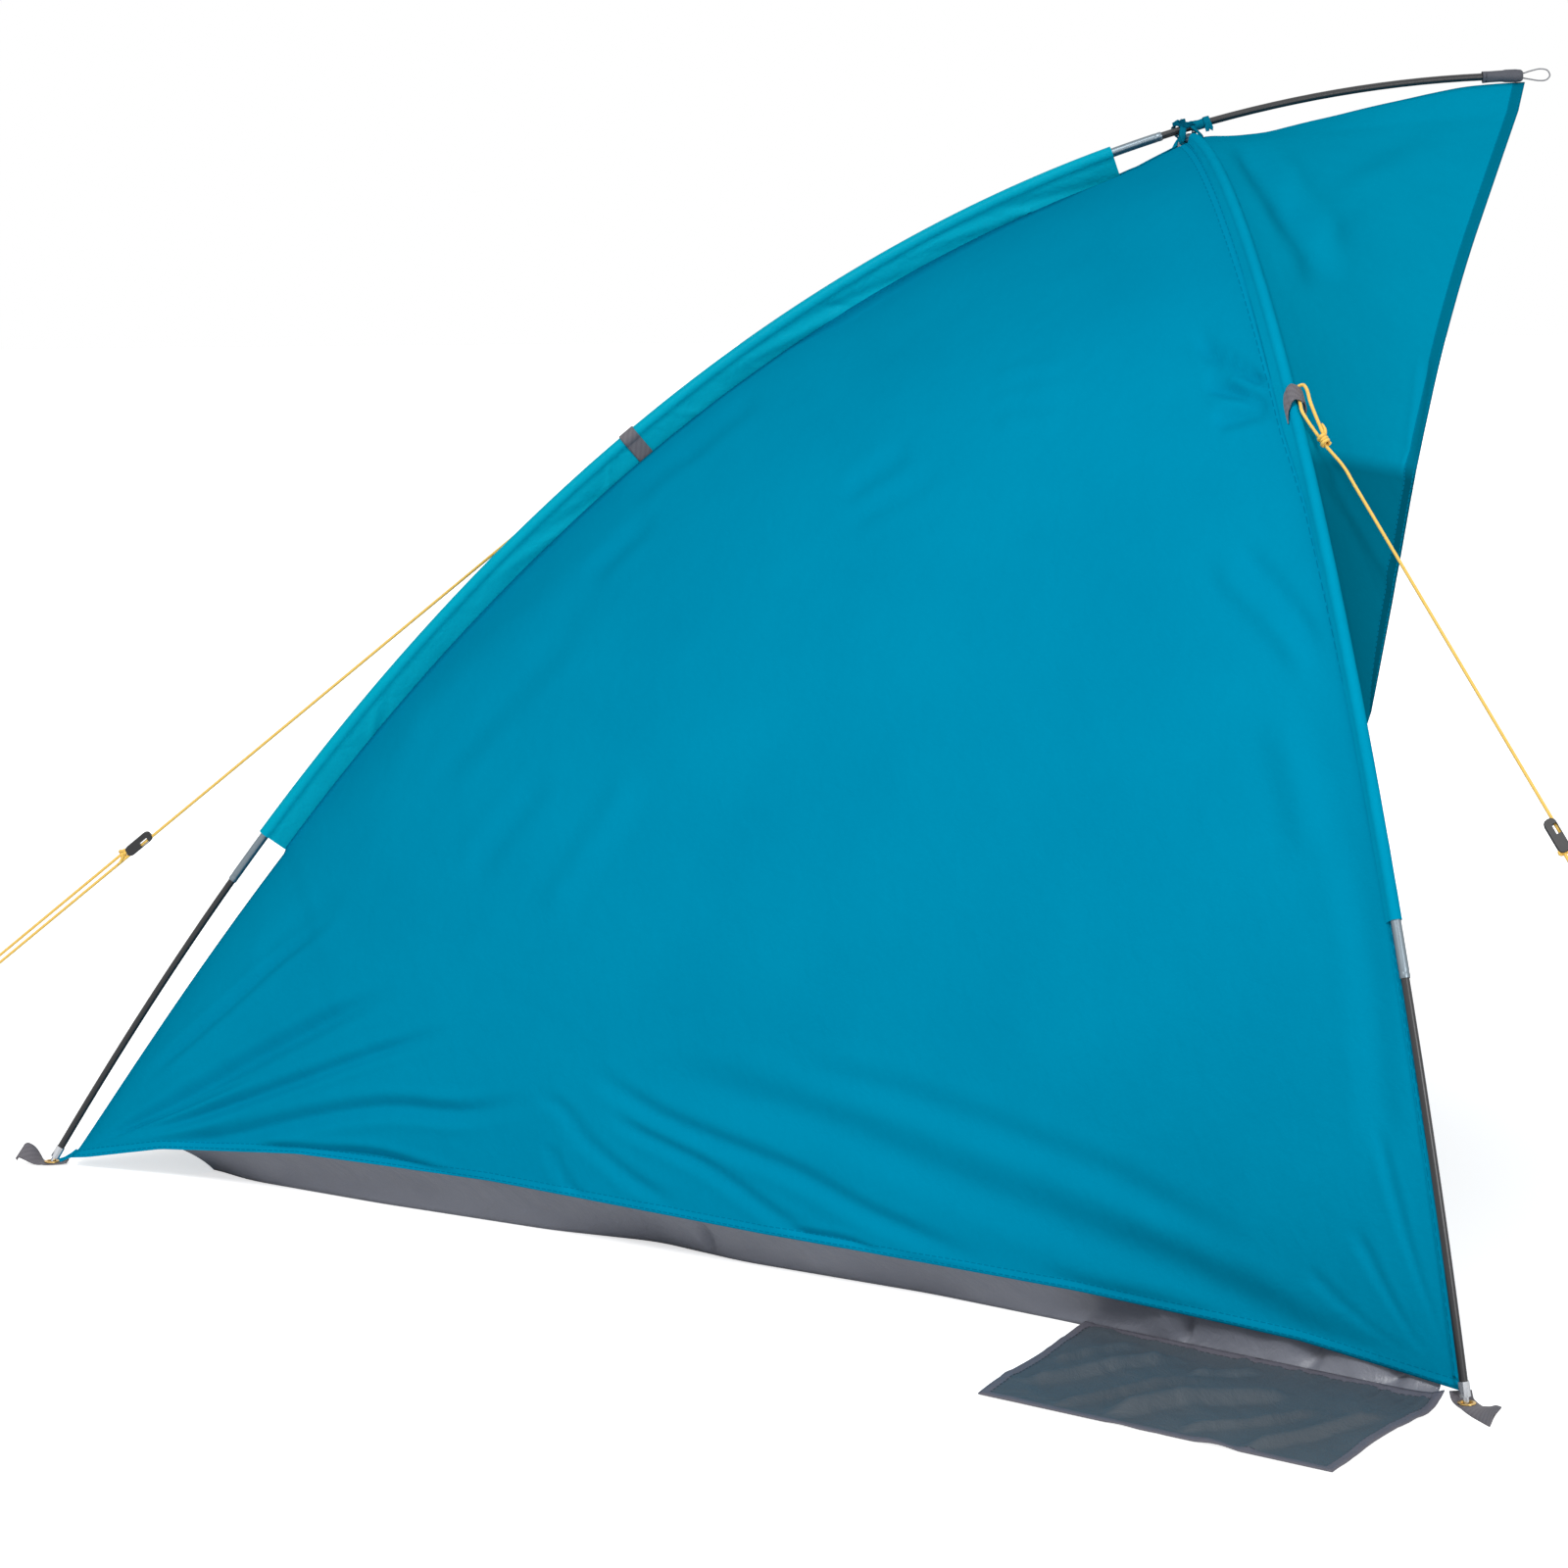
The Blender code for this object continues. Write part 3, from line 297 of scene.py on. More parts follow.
def sided(points, side):
    """Near-side points as they are, or mirrored to the far side."""
    return np.asarray(points, float) * (1.0 if side == NEAR else np.array([-1.0, 1.0, 1.0]))


def share_out(k, low, high, first, second):
    """The point at k between a first point at low and a second one at high."""
    return (high - k) / (high - low) * first + (k - low) / (high - low) * second


def smooth_route(points, steps):
    """A smooth curve through the route's points, with steps pieces between two of them."""
    points = [np.array(p, float) for p in points]
    padded = [2 * points[0] - points[1]] + points + [2 * points[-1] - points[-2]]
    result = []
    for p0, p1, p2, p3 in zip(padded, padded[1:], padded[2:], padded[3:]):
        knots = [0.0]
        for a, b in ((p0, p1), (p1, p2), (p2, p3)):
            knots.append(knots[-1] + np.linalg.norm(b - a) ** 0.5)
        k0, k1, k2, k3 = knots
        for step in range(steps):
            k = k1 + (k2 - k1) * step / steps
            a1, a2, a3 = (share_out(k, *ends) for ends in
                          ((k0, k1, p0, p1), (k1, k2, p1, p2), (k2, k3, p2, p3)))
            b1, b2 = share_out(k, k0, k2, a1, a2), share_out(k, k1, k3, a2, a3)
            result.append(share_out(k, k1, k2, b1, b2))
    result.append(points[-1])
    return np.array(result)


def travelled(grid, axis):
    """Distance along one direction of a grid, in metres."""
    steps = np.linalg.norm(np.diff(grid, axis=axis), axis=2)
    start = np.zeros_like(np.take(steps, [0], axis=axis))
    return np.concatenate([start, np.cumsum(steps, axis=axis)], axis=axis)


def path_length(points):
    return float(np.linalg.norm(np.diff(points, axis=0), axis=1).sum())


def guy_parts(low, high, outside, end, slider_at):
    """The return strand, the rest of the line from the peg to its knot, and its four marks.

    These are the way down to the peg, the way across, the knot and the stopper knot.
    """
    middle = (low + high) / 2
    along = unit(end - middle)
    sideways = unit(np.cross(along, (1.0, 0.0, 0.0)))
    knot = middle + along * KNOT_AT
    lift = math.hypot(along[2], sideways[2]) * LOOP_R + 1.1 * CORD_R
    centre = end + along * ((lift - end[2]) / along[2])
    run = float(np.dot(centre - knot, along))
    at_slider = slider_at - KNOT_AT
    low_end = at_slider + SLIDER_LENGTH / 2 - 0.005
    back = [knot + along * d - sideways * STRAND
            for d in (low_end, low_end + 0.02, run - 0.12, run - STRANDS_PARALLEL)]
    loop = [knot + along * (run - d) - sideways * STRAND
            for d in (STRANDS_PARALLEL, STRANDS_JOIN)]
    loop += [centre + LOOP_R * (math.cos(a) * along + math.sin(a) * sideways)
             for a in np.radians([-115, -70, -25, 25, 70, 115])]
    loop += [knot + along * d + sideways * STRAND
             for d in (run - STRANDS_JOIN, run - STRANDS_PARALLEL, at_slider, 0.060, 0.035)]
    up = unit(high - low)
    beside = 1.2 * CORD_R * unit(outside - along * np.dot(outside, along))
    loop += [knot - beside, low - up * 0.010, low, high,
             high + up * 0.0035 + outside * 0.003, high + up * 0.002 + outside * 0.008,
             high - up * 0.006 + outside * 0.0105, low - up * 0.004 + outside * 0.011,
             knot + beside - along * 0.004]
    return back, loop, (along, sideways, knot, knot + along * (low_end + 0.008))


def new_piece(name, vertices, faces):
    mesh = bpy.data.meshes.new(name)
    mesh.from_pydata([tuple(p) for p in vertices], [], faces)
    mesh.shade_smooth()
    obj = bpy.data.objects.new(name, mesh)
    bpy.context.collection.objects.link(obj)
    return obj


def tube_mesh(name, route, radius, sides=10):
    """A round cord along a route. Its UV runs in metres: along, and round it."""
    tangents = np.gradient(route, axis=0)
    tangents /= np.linalg.norm(tangents, axis=1)[:, None]
    across = unit(np.cross(tangents[0], (0.3, 0.2, 0.9)))
    points, faces = [], []
    for point, tangent in zip(route, tangents):
        across = unit(across - tangent * np.dot(across, tangent))
        beside = np.cross(tangent, across)
        points += [point + radius * (math.cos(a) * across + math.sin(a) * beside)
                   for a in np.linspace(0, 2 * math.pi, sides, endpoint=False)]
    last = len(points) - sides
    for ring in range(0, last, sides):
        for j in range(sides):
            k = (j + 1) % sides
            faces.append((ring + j, ring + k, ring + sides + k, ring + sides + j))
    faces += [tuple(range(sides))[::-1], tuple(range(last, len(points)))]
    obj = new_piece(name, points, faces)
    far = travelled(route[:, None], 0)[:, 0]
    layer = obj.data.uv_layers.new(name="cord")
    for polygon in obj.data.polygons:
        quad = len(polygon.vertices) == 4
        for corner, index in zip(polygon.loop_indices, polygon.vertices):
            i, j = divmod(index, sides)
            if quad and j == 0 and polygon.vertices[1] % sides == 0:
                j = sides
            layer.data[corner].uv = (far[i], j / sides * 2 * math.pi * radius)
    return obj


print("cord helpers ready")

# %% [markdown]
# ## Braided cord
# The cord is polyester, braided in a diamond pattern: two sets of yarns wind round it in
# opposite directions. Two slanted wave patterns on the cord's own UV crossed with each other
# give the eye those diamonds. The real yarn is 0.6 mm wide; it is drawn at 1 mm so it shows.

# %% Yellow braided cord
YARN = 0.0010
YARNS_ROUND = 8
YARN_SLANT = math.asin(YARN * YARNS_ROUND / (2 * math.pi * CORD_R))


def braided(name, light, dark, roughness):
    material, tree, shader = new_material(name)
    uv = add_node(tree, "ShaderNodeUVMap", uv_map="cord")
    waves = []
    for slant in (YARN_SLANT, -YARN_SLANT):
        turned = add_node(tree, "ShaderNodeMapping", {"Vector": (uv, "UV"),
                                                      "Rotation": (0, 0, slant)})
        waves.append(add_node(tree, "ShaderNodeTexWave", {"Vector": (turned, "Vector"),
                                                          "Scale": WAVE_PERIOD / YARN},
                              wave_profile="SIN"))
    braid = add_node(tree, "ShaderNodeMath", {0: (waves[0], "Fac"), 1: (waves[1], "Fac")},
                     operation="MULTIPLY")
    worn = add_node(tree, "ShaderNodeTexNoise", {"Vector": (uv, "UV"), "Scale": 60.0})
    shade = add_node(tree, "ShaderNodeMath", {0: (braid, "Value"), 1: (worn, "Fac"), 2: 0.25},
                     operation="MULTIPLY_ADD")
    mix = add_node(tree, "ShaderNodeMix", {0: (shade, "Value"), 6: hex_colour(dark),
                                           7: hex_colour(light)}, data_type="RGBA")
    bump = add_node(tree, "ShaderNodeBump", {"Height": (braid, "Value"), "Strength": 0.5,
                                             "Distance": 0.0004})
    set_inputs(tree, shader, {"Base Color": (mix, 2), "Normal": (bump, "Normal"),
                              "Roughness": roughness, "Sheen Weight": 0.15})
    return material


yellow_braid = braided("yellow_polyester_braid", "#FFDD78", "#F0BC4E", 0.62)
print("yarn drawn at", YARN * 1000, "mm")

# %% [markdown]
# ## Guy lines, knots and sliders
# Each line gets its two pieces and two knots. A knot is the same cord wound on itself: the
# knot near the tab is a short coil round both strands with a loose tail, and the stopper
# under the slider is a tight overhand knot, which is the curve that mathematicians call a
# trefoil. Both are tubes along a formula, because a cord keeps its thickness in every turn.

# %% Knots
def coil_knot(spot, along, side_way):
    """Cord wound three times round two strands, from its tail to its last turn."""
    third = np.cross(along, side_way)
    route = [spot - along * 0.017 + side_way * 0.006, spot - along * 0.010 + side_way * 0.0062]
    for k in range(31):
        angle = 2 * math.pi * k / 10
        rise = -0.0052 + 0.0104 * k / 30
        swell = 0.0037 + 0.0006 * math.sin(angle * 0.5)
        route.append(spot + along * rise + swell * (math.cos(angle) * side_way
                                                    + math.sin(angle) * third))
    return smooth_route(route, 3)


def overhand_knot(spot, along, side_way):
    """A trefoil with a short loose tail."""
    size, third = 0.00150, np.cross(along, side_way)
    route = []
    for k in range(48):
        t = 2 * math.pi * (k + 0.4) / 48.5
        x, y = math.sin(t) + 2 * math.sin(2 * t), math.cos(t) - 2 * math.cos(2 * t)
        route.append(spot + size * (x * side_way + y * along * 0.9 - math.sin(3 * t) * third))
    tail = [spot + side_way * 0.005 + along * 0.007 + third * 0.002,
            spot + side_way * 0.007 + along * 0.013 + third * 0.003]
    return smooth_route([*route, *tail], 2)


# %% One guy line on its tab
def make_guy(name, low, high, outside, end, slider_at, side):
    back, loop, marks = guy_parts(low, high, outside, end, slider_at)
    back = sided(smooth_route(back, 12), side)
    loop = sided(smooth_route(loop, 8), side)
    along, side_way, knot_spot, stop_spot = (sided(mark, side) for mark in marks)
    slider_body = f"slider_{name}_body"

    line = tube_mesh(f"guy_line_{name}_cord", loop, CORD_R)
    strand = tube_mesh(f"guy_return_{name}_cord", back, CORD_R)
    knot = tube_mesh(f"guy_knot_{name}", coil_knot(knot_spot, along, side_way), CORD_R)
    stop = tube_mesh(f"guy_stop_{name}",
                     overhand_knot(stop_spot - side_way * STRAND, along, side_way), CORD_R)
    for piece in (line, strand, knot, stop):
        piece.data.materials.append(yellow_braid)
    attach(line, "tent")
    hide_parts(f"guy_line_{name}")
    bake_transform(strand)
    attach(knot, "tent")
    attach(stop, slider_body)
    print(name, "line", round(path_length(loop), 3), "return strand",
          round(path_length(back), 3), "m")


ARCH_TAB = (1.047, 1.068)
RIDGE_BAND, RIDGE_BAND_WIDTH = 1.122, 0.020
TAB_TUNNEL, BAND_TUNNEL = math.radians(130), math.radians(5)
NEAR_PEG = np.array([-1.25, -0.39 + FEET_Y, 0.0])
FAR_PEG = np.array([-1.25, -0.24 + FEET_Y, 0.0])   # mirrored, as the far line is built
REAR_PEG = np.array([0.08, 1.87 + FEET_Y, 0.0])
SIDE_SLIDER_AT, REAR_SLIDER_AT = 0.53, 0.77

tab_ends = [arch.around(s, TUNNEL_R, TAB_TUNNEL) for s in ARCH_TAB]
tab_out = unit(arch.around(ARCH_TAB[0], 1.0, math.radians(150)) - arch.at(ARCH_TAB[0]))
make_guy("near", *tab_ends, tab_out, NEAR_PEG, SIDE_SLIDER_AT, NEAR)
make_guy("far", *tab_ends, tab_out, FAR_PEG, SIDE_SLIDER_AT, FAR)
band_ends = [ridge.around(RIDGE_BAND + k * RIDGE_BAND_WIDTH / 2, TUNNEL_R, BAND_TUNNEL)
             for k in (-1, 1)]
band_out = unit(ridge.around(RIDGE_BAND, 1.0, math.radians(20)) - ridge.at(RIDGE_BAND))
make_guy("rear", *band_ends, band_out, REAR_PEG, REAR_SLIDER_AT, NEAR)

# %% [markdown]
# ## Cloth pieces
# The shelter is cut from light coated polyester. A cloth piece is one continuous sheet, built
# from a grid of points that is computed between its own edges, then given its thickness by a
# Solidify modifier. Each sheet gets a UV map in metres, so the weave has one real size on all
# of them, and a second map that counts along and away from the nearest sewn edge.

# %% Sheet helpers
def select_only(obj):
    bpy.ops.object.select_all(action="DESELECT")
    bpy.context.view_layer.objects.active = obj
    obj.select_set(True)


def apply_modifiers(obj):
    select_only(obj)
    for modifier in list(obj.modifiers):
        bpy.ops.object.modifier_apply(modifier=modifier.name)


def edge_map(grid, edges):
    """For each point the way along and the distance from the nearest of some edges."""
    down, over = travelled(grid, 0), travelled(grid, 1)
    far = {"row0": (over.mean(0)[None, :] + 0 * over, down),
           "row1": (over.mean(0)[None, :] + 0 * over, down[-1:] - down),
           "col0": (down[:, :1] + 0 * down, over),
           "col1": (down[:, -1:] + 0 * down, over[:, -1:] - over)}
    best_along, best_away = np.zeros(down.shape), np.full(down.shape, 1.0)
    for edge in edges:
        along, away = far[edge]
        nearer = away < best_away
        best_along = np.where(nearer, along, best_along)
        best_away = np.where(nearer, away, best_away)
    return np.stack([best_along, best_away], axis=2)


def sheet(name, grid, thickness, material, weave=None, edges=(), side=NEAR, fixed=True):
    """A cloth sheet about a grid of points, with its weave map and its edge map.

    It rides on the tent, unless it isn't fixed to it.
    """
    rows, columns = grid.shape[:2]
    if weave is None:
        weave = np.stack([travelled(grid, 1), travelled(grid, 0)], axis=2)
    faces = [(a, a + 1, a + columns + 1, a + columns)
             for i in range(rows - 1) for a in range(i * columns, (i + 1) * columns - 1)]
    if side == FAR:
        faces = [face[::-1] for face in faces]
    obj = new_piece(name, sided(grid, side).reshape(-1, 3), faces)
    mesh = obj.data
    for layer_name, values in (("weave", weave), ("seam", edge_map(grid, edges))):
        layer = mesh.uv_layers.new(name=layer_name)
        order = np.zeros(len(mesh.loops), int)
        mesh.loops.foreach_get("vertex_index", order)
        layer.data.foreach_set("uv", values.reshape(-1, 2)[order].ravel())
    mesh.materials.append(material)
    shell = obj.modifiers.new("Thickness", "SOLIDIFY")
    shell.thickness = thickness
    shell.offset = 0.0
    apply_modifiers(obj)
    if fixed:
        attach(obj, "tent")
    return obj


def grid_area(grid):
    a, b = grid[1:, :-1] - grid[:-1, :-1], grid[:-1, 1:] - grid[:-1, :-1]
    return float(np.linalg.norm(np.cross(a, b), axis=2).sum())


def ripple(u, v, seed, scale):
    """Smooth noise on a grid, from -1 to 1."""
    flat = [noise.noise(Vector((a * scale, b * scale, seed * 7.3)))
            for a, b in zip(np.ravel(u), np.ravel(v))]
    return np.array(flat).reshape(np.shape(u))


def soft_interp(x, table, width=0.012):
    """A table read with its corners rounded."""
    return np.mean([np.interp(x + d, *zip(*table)) for d in np.linspace(-width, width, 5)])


print("sheet helpers ready")

# %% [markdown]
# ## Coated polyester
# The teal cloth is a plain weave of thin filament yarn with a matt coating: it shows its colour
# and hardly a highlight, so its specular level is zero. The grey cloths are a coarser weave and
# keep some sheen. All of them have a fine crackle of small creases where they were folded. The
# yarn spacing is 0.25 mm, far below a pixel, so the weave is drawn at 1.2 mm.

# %% Woven cloth
THREAD = 0.0012
STITCH = 0.0040
STITCH_GAP = 0.28         # of a stitch's length
STITCH_HALF_WIDTH = 0.0006
HEM_RISE, STITCH_RISE = 4.0, 3.0   # in heights of a yarn


def woven(name, light, dark, thread_code, roughness, rows_of_stitches, crease=0.35,
          hem=(0.0, 0.0), shine=0.35, painted_shade=None, hem_code=None):
    """Plain weave with stitched rows, a hem of its own tone, and a part that may get painted
    shade.
    """
    material, tree, shader = new_material(name)
    uv = add_node(tree, "ShaderNodeUVMap", uv_map="weave")
    yarns = [add_node(tree, "ShaderNodeTexWave", {"Vector": (uv, "UV"),
                                                  "Scale": WAVE_PERIOD / THREAD},
                      wave_profile="SIN", bands_direction=way) for way in ("X", "Y")]
    cross = add_node(tree, "ShaderNodeMath", {0: (yarns[0], "Fac"), 1: (yarns[1], "Fac")},
                     operation="MAXIMUM")
    broad = add_node(tree, "ShaderNodeTexNoise", {"Vector": (uv, "UV"), "Scale": 5.0,
                                                  "Detail": 4.0, "Roughness": 0.55})
    folded = add_node(tree, "ShaderNodeTexNoise", {"Vector": (uv, "UV"), "Scale": 38.0,
                                                   "Detail": 5.0, "Roughness": 0.6,
                                                   "Distortion": 0.4})
    uneven = add_node(tree, "ShaderNodeMix", {0: (broad, "Fac"), 6: hex_colour(dark),
                                              7: hex_colour(light)}, data_type="RGBA")
    seam_uv = add_node(tree, "ShaderNodeUVMap", uv_map="seam")
    seam = add_node(tree, "ShaderNodeSeparateXYZ", {"Vector": (seam_uv, "UV")})
    doubled = add_node(tree, "ShaderNodeMath", {0: (seam, "Y"), 1: hem[0]},
                       operation="LESS_THAN")
    tone = add_node(tree, "ShaderNodeMath", {0: (doubled, "Value"), 1: hem[1], 2: 1.0},
                    operation="MULTIPLY_ADD")
    # painted shade: past a line in object coordinates the cloth's colour is scaled darker, in
    # place of real shade
    if painted_shade is not None:
        way, start, end, level = painted_shade
        place = add_node(tree, "ShaderNodeTexCoord")
        down = add_node(tree, "ShaderNodeVectorMath", {0: (place, "Object"), 1: way},
                        operation="DOT_PRODUCT")
        painted_shade_level = add_node(tree, "ShaderNodeMapRange", {"Value": (down, "Value"),
                                                       "From Min": start, "From Max": end,
                                                       "To Min": 1.0, "To Max": level})
        tone = add_node(tree, "ShaderNodeMath", {0: (tone, "Value"), 1: (painted_shade_level, "Result")},
                        operation="MULTIPLY")
    if hem_code is not None:
        uneven = add_node(tree, "ShaderNodeMix", {0: (doubled, "Value"), 6: (uneven, 2),
                                                  7: hex_colour(hem_code)}, data_type="RGBA")
    toned = add_node(tree, "ShaderNodeVectorMath", {0: (uneven, 2), "Scale": (tone, "Value")},
                     operation="SCALE")
    thick = add_node(tree, "ShaderNodeMath", {0: (doubled, "Value"), 1: HEM_RISE,
                                              2: (cross, "Value")}, operation="MULTIPLY_ADD")
    colour, height = (toned, "Vector"), (thick, "Value")

    # a row of stitches is dashes along the seam, at its own distance from it
    wave = add_node(tree, "ShaderNodeMath", {0: (seam, "X"), 1: STITCH}, operation="PINGPONG")
    dash = add_node(tree, "ShaderNodeMath", {0: (wave, "Value"), 1: STITCH * STITCH_GAP},
                    operation="GREATER_THAN")
    for away in rows_of_stitches:
        line = add_node(tree, "ShaderNodeMath", {0: (seam, "Y"), 1: away,
                                                 2: STITCH_HALF_WIDTH}, operation="COMPARE")
        row = add_node(tree, "ShaderNodeMath", {0: (line, "Value"), 1: (dash, "Value")},
                       operation="MULTIPLY")
        sewn = add_node(tree, "ShaderNodeMix", {0: (row, "Value"), 6: colour,
                                                7: hex_colour(thread_code)}, data_type="RGBA")
        raised = add_node(tree, "ShaderNodeMath", {0: (row, "Value"), 1: STITCH_RISE,
                                                   2: height}, operation="MULTIPLY_ADD")
        colour, height = (sewn, 2), (raised, "Value")

    fine = add_node(tree, "ShaderNodeBump", {"Height": height, "Strength": 0.25,
                                             "Distance": 0.0002})
    soft = add_node(tree, "ShaderNodeBump", {"Height": (folded, "Fac"), "Strength": crease,
                                             "Distance": 0.0035, "Normal": (fine, "Normal")})
    gloss = add_node(tree, "ShaderNodeMapRange", {"Value": (folded, "Fac"), "From Min": 0.3,
                                                  "From Max": 0.7, "To Min": roughness - 0.05,
                                                  "To Max": roughness + 0.07})
    set_inputs(tree, shader, {"Base Color": colour, "Normal": (soft, "Normal"),
                              "Roughness": (gloss, "Result"), "Specular IOR Level": shine})
    return material


# painted shade: below a line from the webbing tab to the hem the awning's colour is darkened,
# standing in for the shade on its lower part
AWNING_PAINTED_SHADE = ((0.0, 0.2217, -0.975), -0.985, -0.968, 0.55)
teal_shell = woven("teal_coated_polyester", "#008BAF", "#0080A4", "#007295", 0.40,
                   (0.0030, 0.0100), hem=(0.011, 0.08), shine=0.0)
teal_awning = woven("teal_awning_polyester_painted_shade", "#008FB1", "#0084A6", "#007295", 0.40,
                    (0.0030, 0.0130), hem=(0.014, -0.40), shine=0.0, painted_shade=AWNING_PAINTED_SHADE)
# painted sheen: the sleeves are coloured a lighter teal than the panels, standing in for the sheen
# along them
teal_ridge = woven("teal_ridge_sleeve_polyester_painted_sheen", "#00A5BF", "#0098B3", "#007295", 0.34, (),
                   crease=0.6, shine=0.02)
teal_arch = woven("teal_arch_sleeve_polyester_painted_sheen", "#0095B8", "#0087AB", "#007295", 0.34, (),
                  crease=0.5, shine=0.0)
grey_ground = woven("grey_coated_oxford", "#7E818C", "#666974", "#3A3C42", 0.34,
                    (0.0035,), crease=0.6, shine=0.5)
grey_flap = woven("slate_coated_oxford", "#4D575F", "#3F4850", "#2A2F36", 0.50,
                  (0.0105,), crease=0.8, hem=(0.011, 0.0), hem_code="#5F5E68")
print("thread drawn at", THREAD * 1000, "mm, stitches", STITCH * 1000, "mm")

# %% [markdown]
# ## Side panels
# Each side is one piece of cloth between three curves: the ridge pole, the arch pole and a hem
# that hangs from the rear foot to the front foot a few centimetres above the ground. Cloth
# that is pulled between curved poles takes the shape of a soft saddle. Building it from its
# edge curves inwards gives that shape at once; a simulation would only drift from the seams.

# %% Edges of a side panel
RIDGE_SLEEVE = (0.478, 1.779)
RIDGE_SEAM = 0.032
ARCH_SLEEVE = (0.467, 1.745)
SEAM_ANGLE = math.radians(-35)
LAP = 0.0030
HEM_HEIGHT = ((0.0, 0.013), (0.1, 0.032), (0.24, 0.042), (0.45, 0.047), (0.65, 0.057),
              (0.8, 0.054), (0.91, 0.036), (0.97, 0.014), (1.0, 0.007))
HEM_INWARD = 0.030

front_foot = np.array([-HALF_WIDTH, FEET_Y, 0.0])
rear_foot = np.array([0.0, FEET_Y + DEPTH, 0.0])
side_way = unit(rear_foot - front_foot)
side_out = np.array([-side_way[1], side_way[0], 0.0])
side_length = float(np.linalg.norm(rear_foot - front_foot))


def hem_point(share):
    height = np.interp(share, *zip(*HEM_HEIGHT))
    inward = HEM_INWARD * (1 - abs(2 * share - 1) ** 3)
    return (front_foot + side_way * side_length * share - side_out * inward
            + np.array([0, 0, height]))


def arch_seam(s):
    """The arch sleeve is narrow below the tab, wider above it and narrow at the crown."""
    return float(np.interp(s, (0.93, 1.03, 1.40, 1.745), (0.0105, 0.0165, 0.0140, 0.0095)))


def ridge_edge(s):
    if s < RIDGE_SLEEVE[0]:
        depth = 0.0155 + 0.016 * math.sqrt(s / RIDGE_SLEEVE[0])
    else:
        depth = RIDGE_SEAM - LAP - 0.008 * max(0.0, (s - RIDGE_SLEEVE[1]) / 0.056)
    lapped = np.interp(s, (RIDGE_SLEEVE[0] - 0.02, RIDGE_SLEEVE[0]), (0.0008, 0.0015))
    return ridge.place(s, 0.0, -depth) - np.array([lapped, 0, 0])


def arch_edge(s):
    depth = np.interp(s, (ARCH_SLEEVE[0] - 0.03, ARCH_SLEEVE[0]), (0.0105, arch_seam(s) - 0.001))
    return arch.around(s, depth, SEAM_ANGLE)


# %% Rest shape of a side panel
def spread(stops, close=(0.0, 0.004, 0.010, 0.013, 0.018)):
    """Lines between stops of (place, steps to the next), with close ones at both ends."""
    low, high = stops[0][0], stops[-1][0]
    lines = [low + c for c in close] + [high - c for c in close]
    for (start, steps), (end, _) in zip(stops, stops[1:]):
        lines += list(np.linspace(start, end, steps, endpoint=False))
    return np.array(sorted(set(np.round(lines, 5))))


PANEL_SAG = 0.012 * np.array([-0.6, 0.45, 0.66])


def panel_rest():
    ridge_s = spread(((0.03, 158), (1.62, 56), (1.835, 0)))
    arch_s = spread(((0.020, 78), (0.42, 38), (0.97, 32), (1.13, 40), (1.765, 0)))
    shares = ridge_s / ridge_s[-1]
    ridge_side = np.array([ridge_edge(s) for s in ridge_s])
    front_side = np.array([arch_edge(s) for s in arch_s])
    hem = np.array([hem_point(1 - share) for share in shares])
    hem[-1] = front_side[0]
    front_side[-1] = ridge_side[-1]
    a = ((arch_s - arch_s[0]) / (arch_s[-1] - arch_s[0]))[None, :, None]
    grown = ((shares - shares[0]) / (1 - shares[0]))[:, None, None]
    straight = (1 - a) * hem[:, None] + a * ridge_side[:, None]
    bulge = front_side[None] - (1 - a) * front_side[0] - a * front_side[-1]
    grid = straight + grown * bulge
    fade = np.sin(math.pi * a) * np.sin(math.pi * grown)
    return grid - fade * PANEL_SAG


panel = panel_rest()
print("panel grid", panel.shape, "area", round(grid_area(panel), 3), "m2")

# %% [markdown]
# ## Folds
# Taut cloth is never quite smooth: long soft folds run from each point where it is pulled to
# the edge that holds it. A fold is given as a line over the panel, seen from the side, with a
# width and a height. It raises the cloth along its own normal and fades out at its ends.

# %% Folds over a panel
def surface_normals(grid):
    down, over = np.gradient(grid, axis=0), np.gradient(grid, axis=1)
    normal = np.cross(down, over)
    return normal / np.maximum(np.linalg.norm(normal, axis=2), 1e-12)[..., None]


def fold_height(y, z, fold, narrow=1.0):
    """A row of a fold table as a height over a grid. A negative one is an inward fold."""
    width, height = fold[0] / 1000, fold[1] / 1000
    points = smooth_route(np.array(fold[2:]) / 1000, 3)
    lengths = np.linalg.norm(np.diff(points, axis=0), axis=1)
    starts = np.concatenate([[0], np.cumsum(lengths)])
    away, share = np.full(y.shape, 9.0), np.zeros(y.shape)
    for (y0, z0), (y1, z1), length, start in zip(points, points[1:], lengths, starts):
        t = np.clip(((y - y0) * (y1 - y0) + (z - z0) * (z1 - z0)) / length ** 2, 0, 1)
        off = np.hypot(y - y0 - t * (y1 - y0), z - z0 - t * (z1 - z0))
        share = np.where(off < away, (start + t * length) / starts[-1], share)
        away = np.minimum(off, away)
    away = away / (width * narrow)
    shape = np.exp(-away ** 2) - 0.25 * np.exp(-((away - 1.7) / 0.8) ** 2)
    ends = np.clip(share / 0.15, 0, 1) * np.clip((1 - share) / 0.2, 0, 1)
    return height * narrow * shape * ends


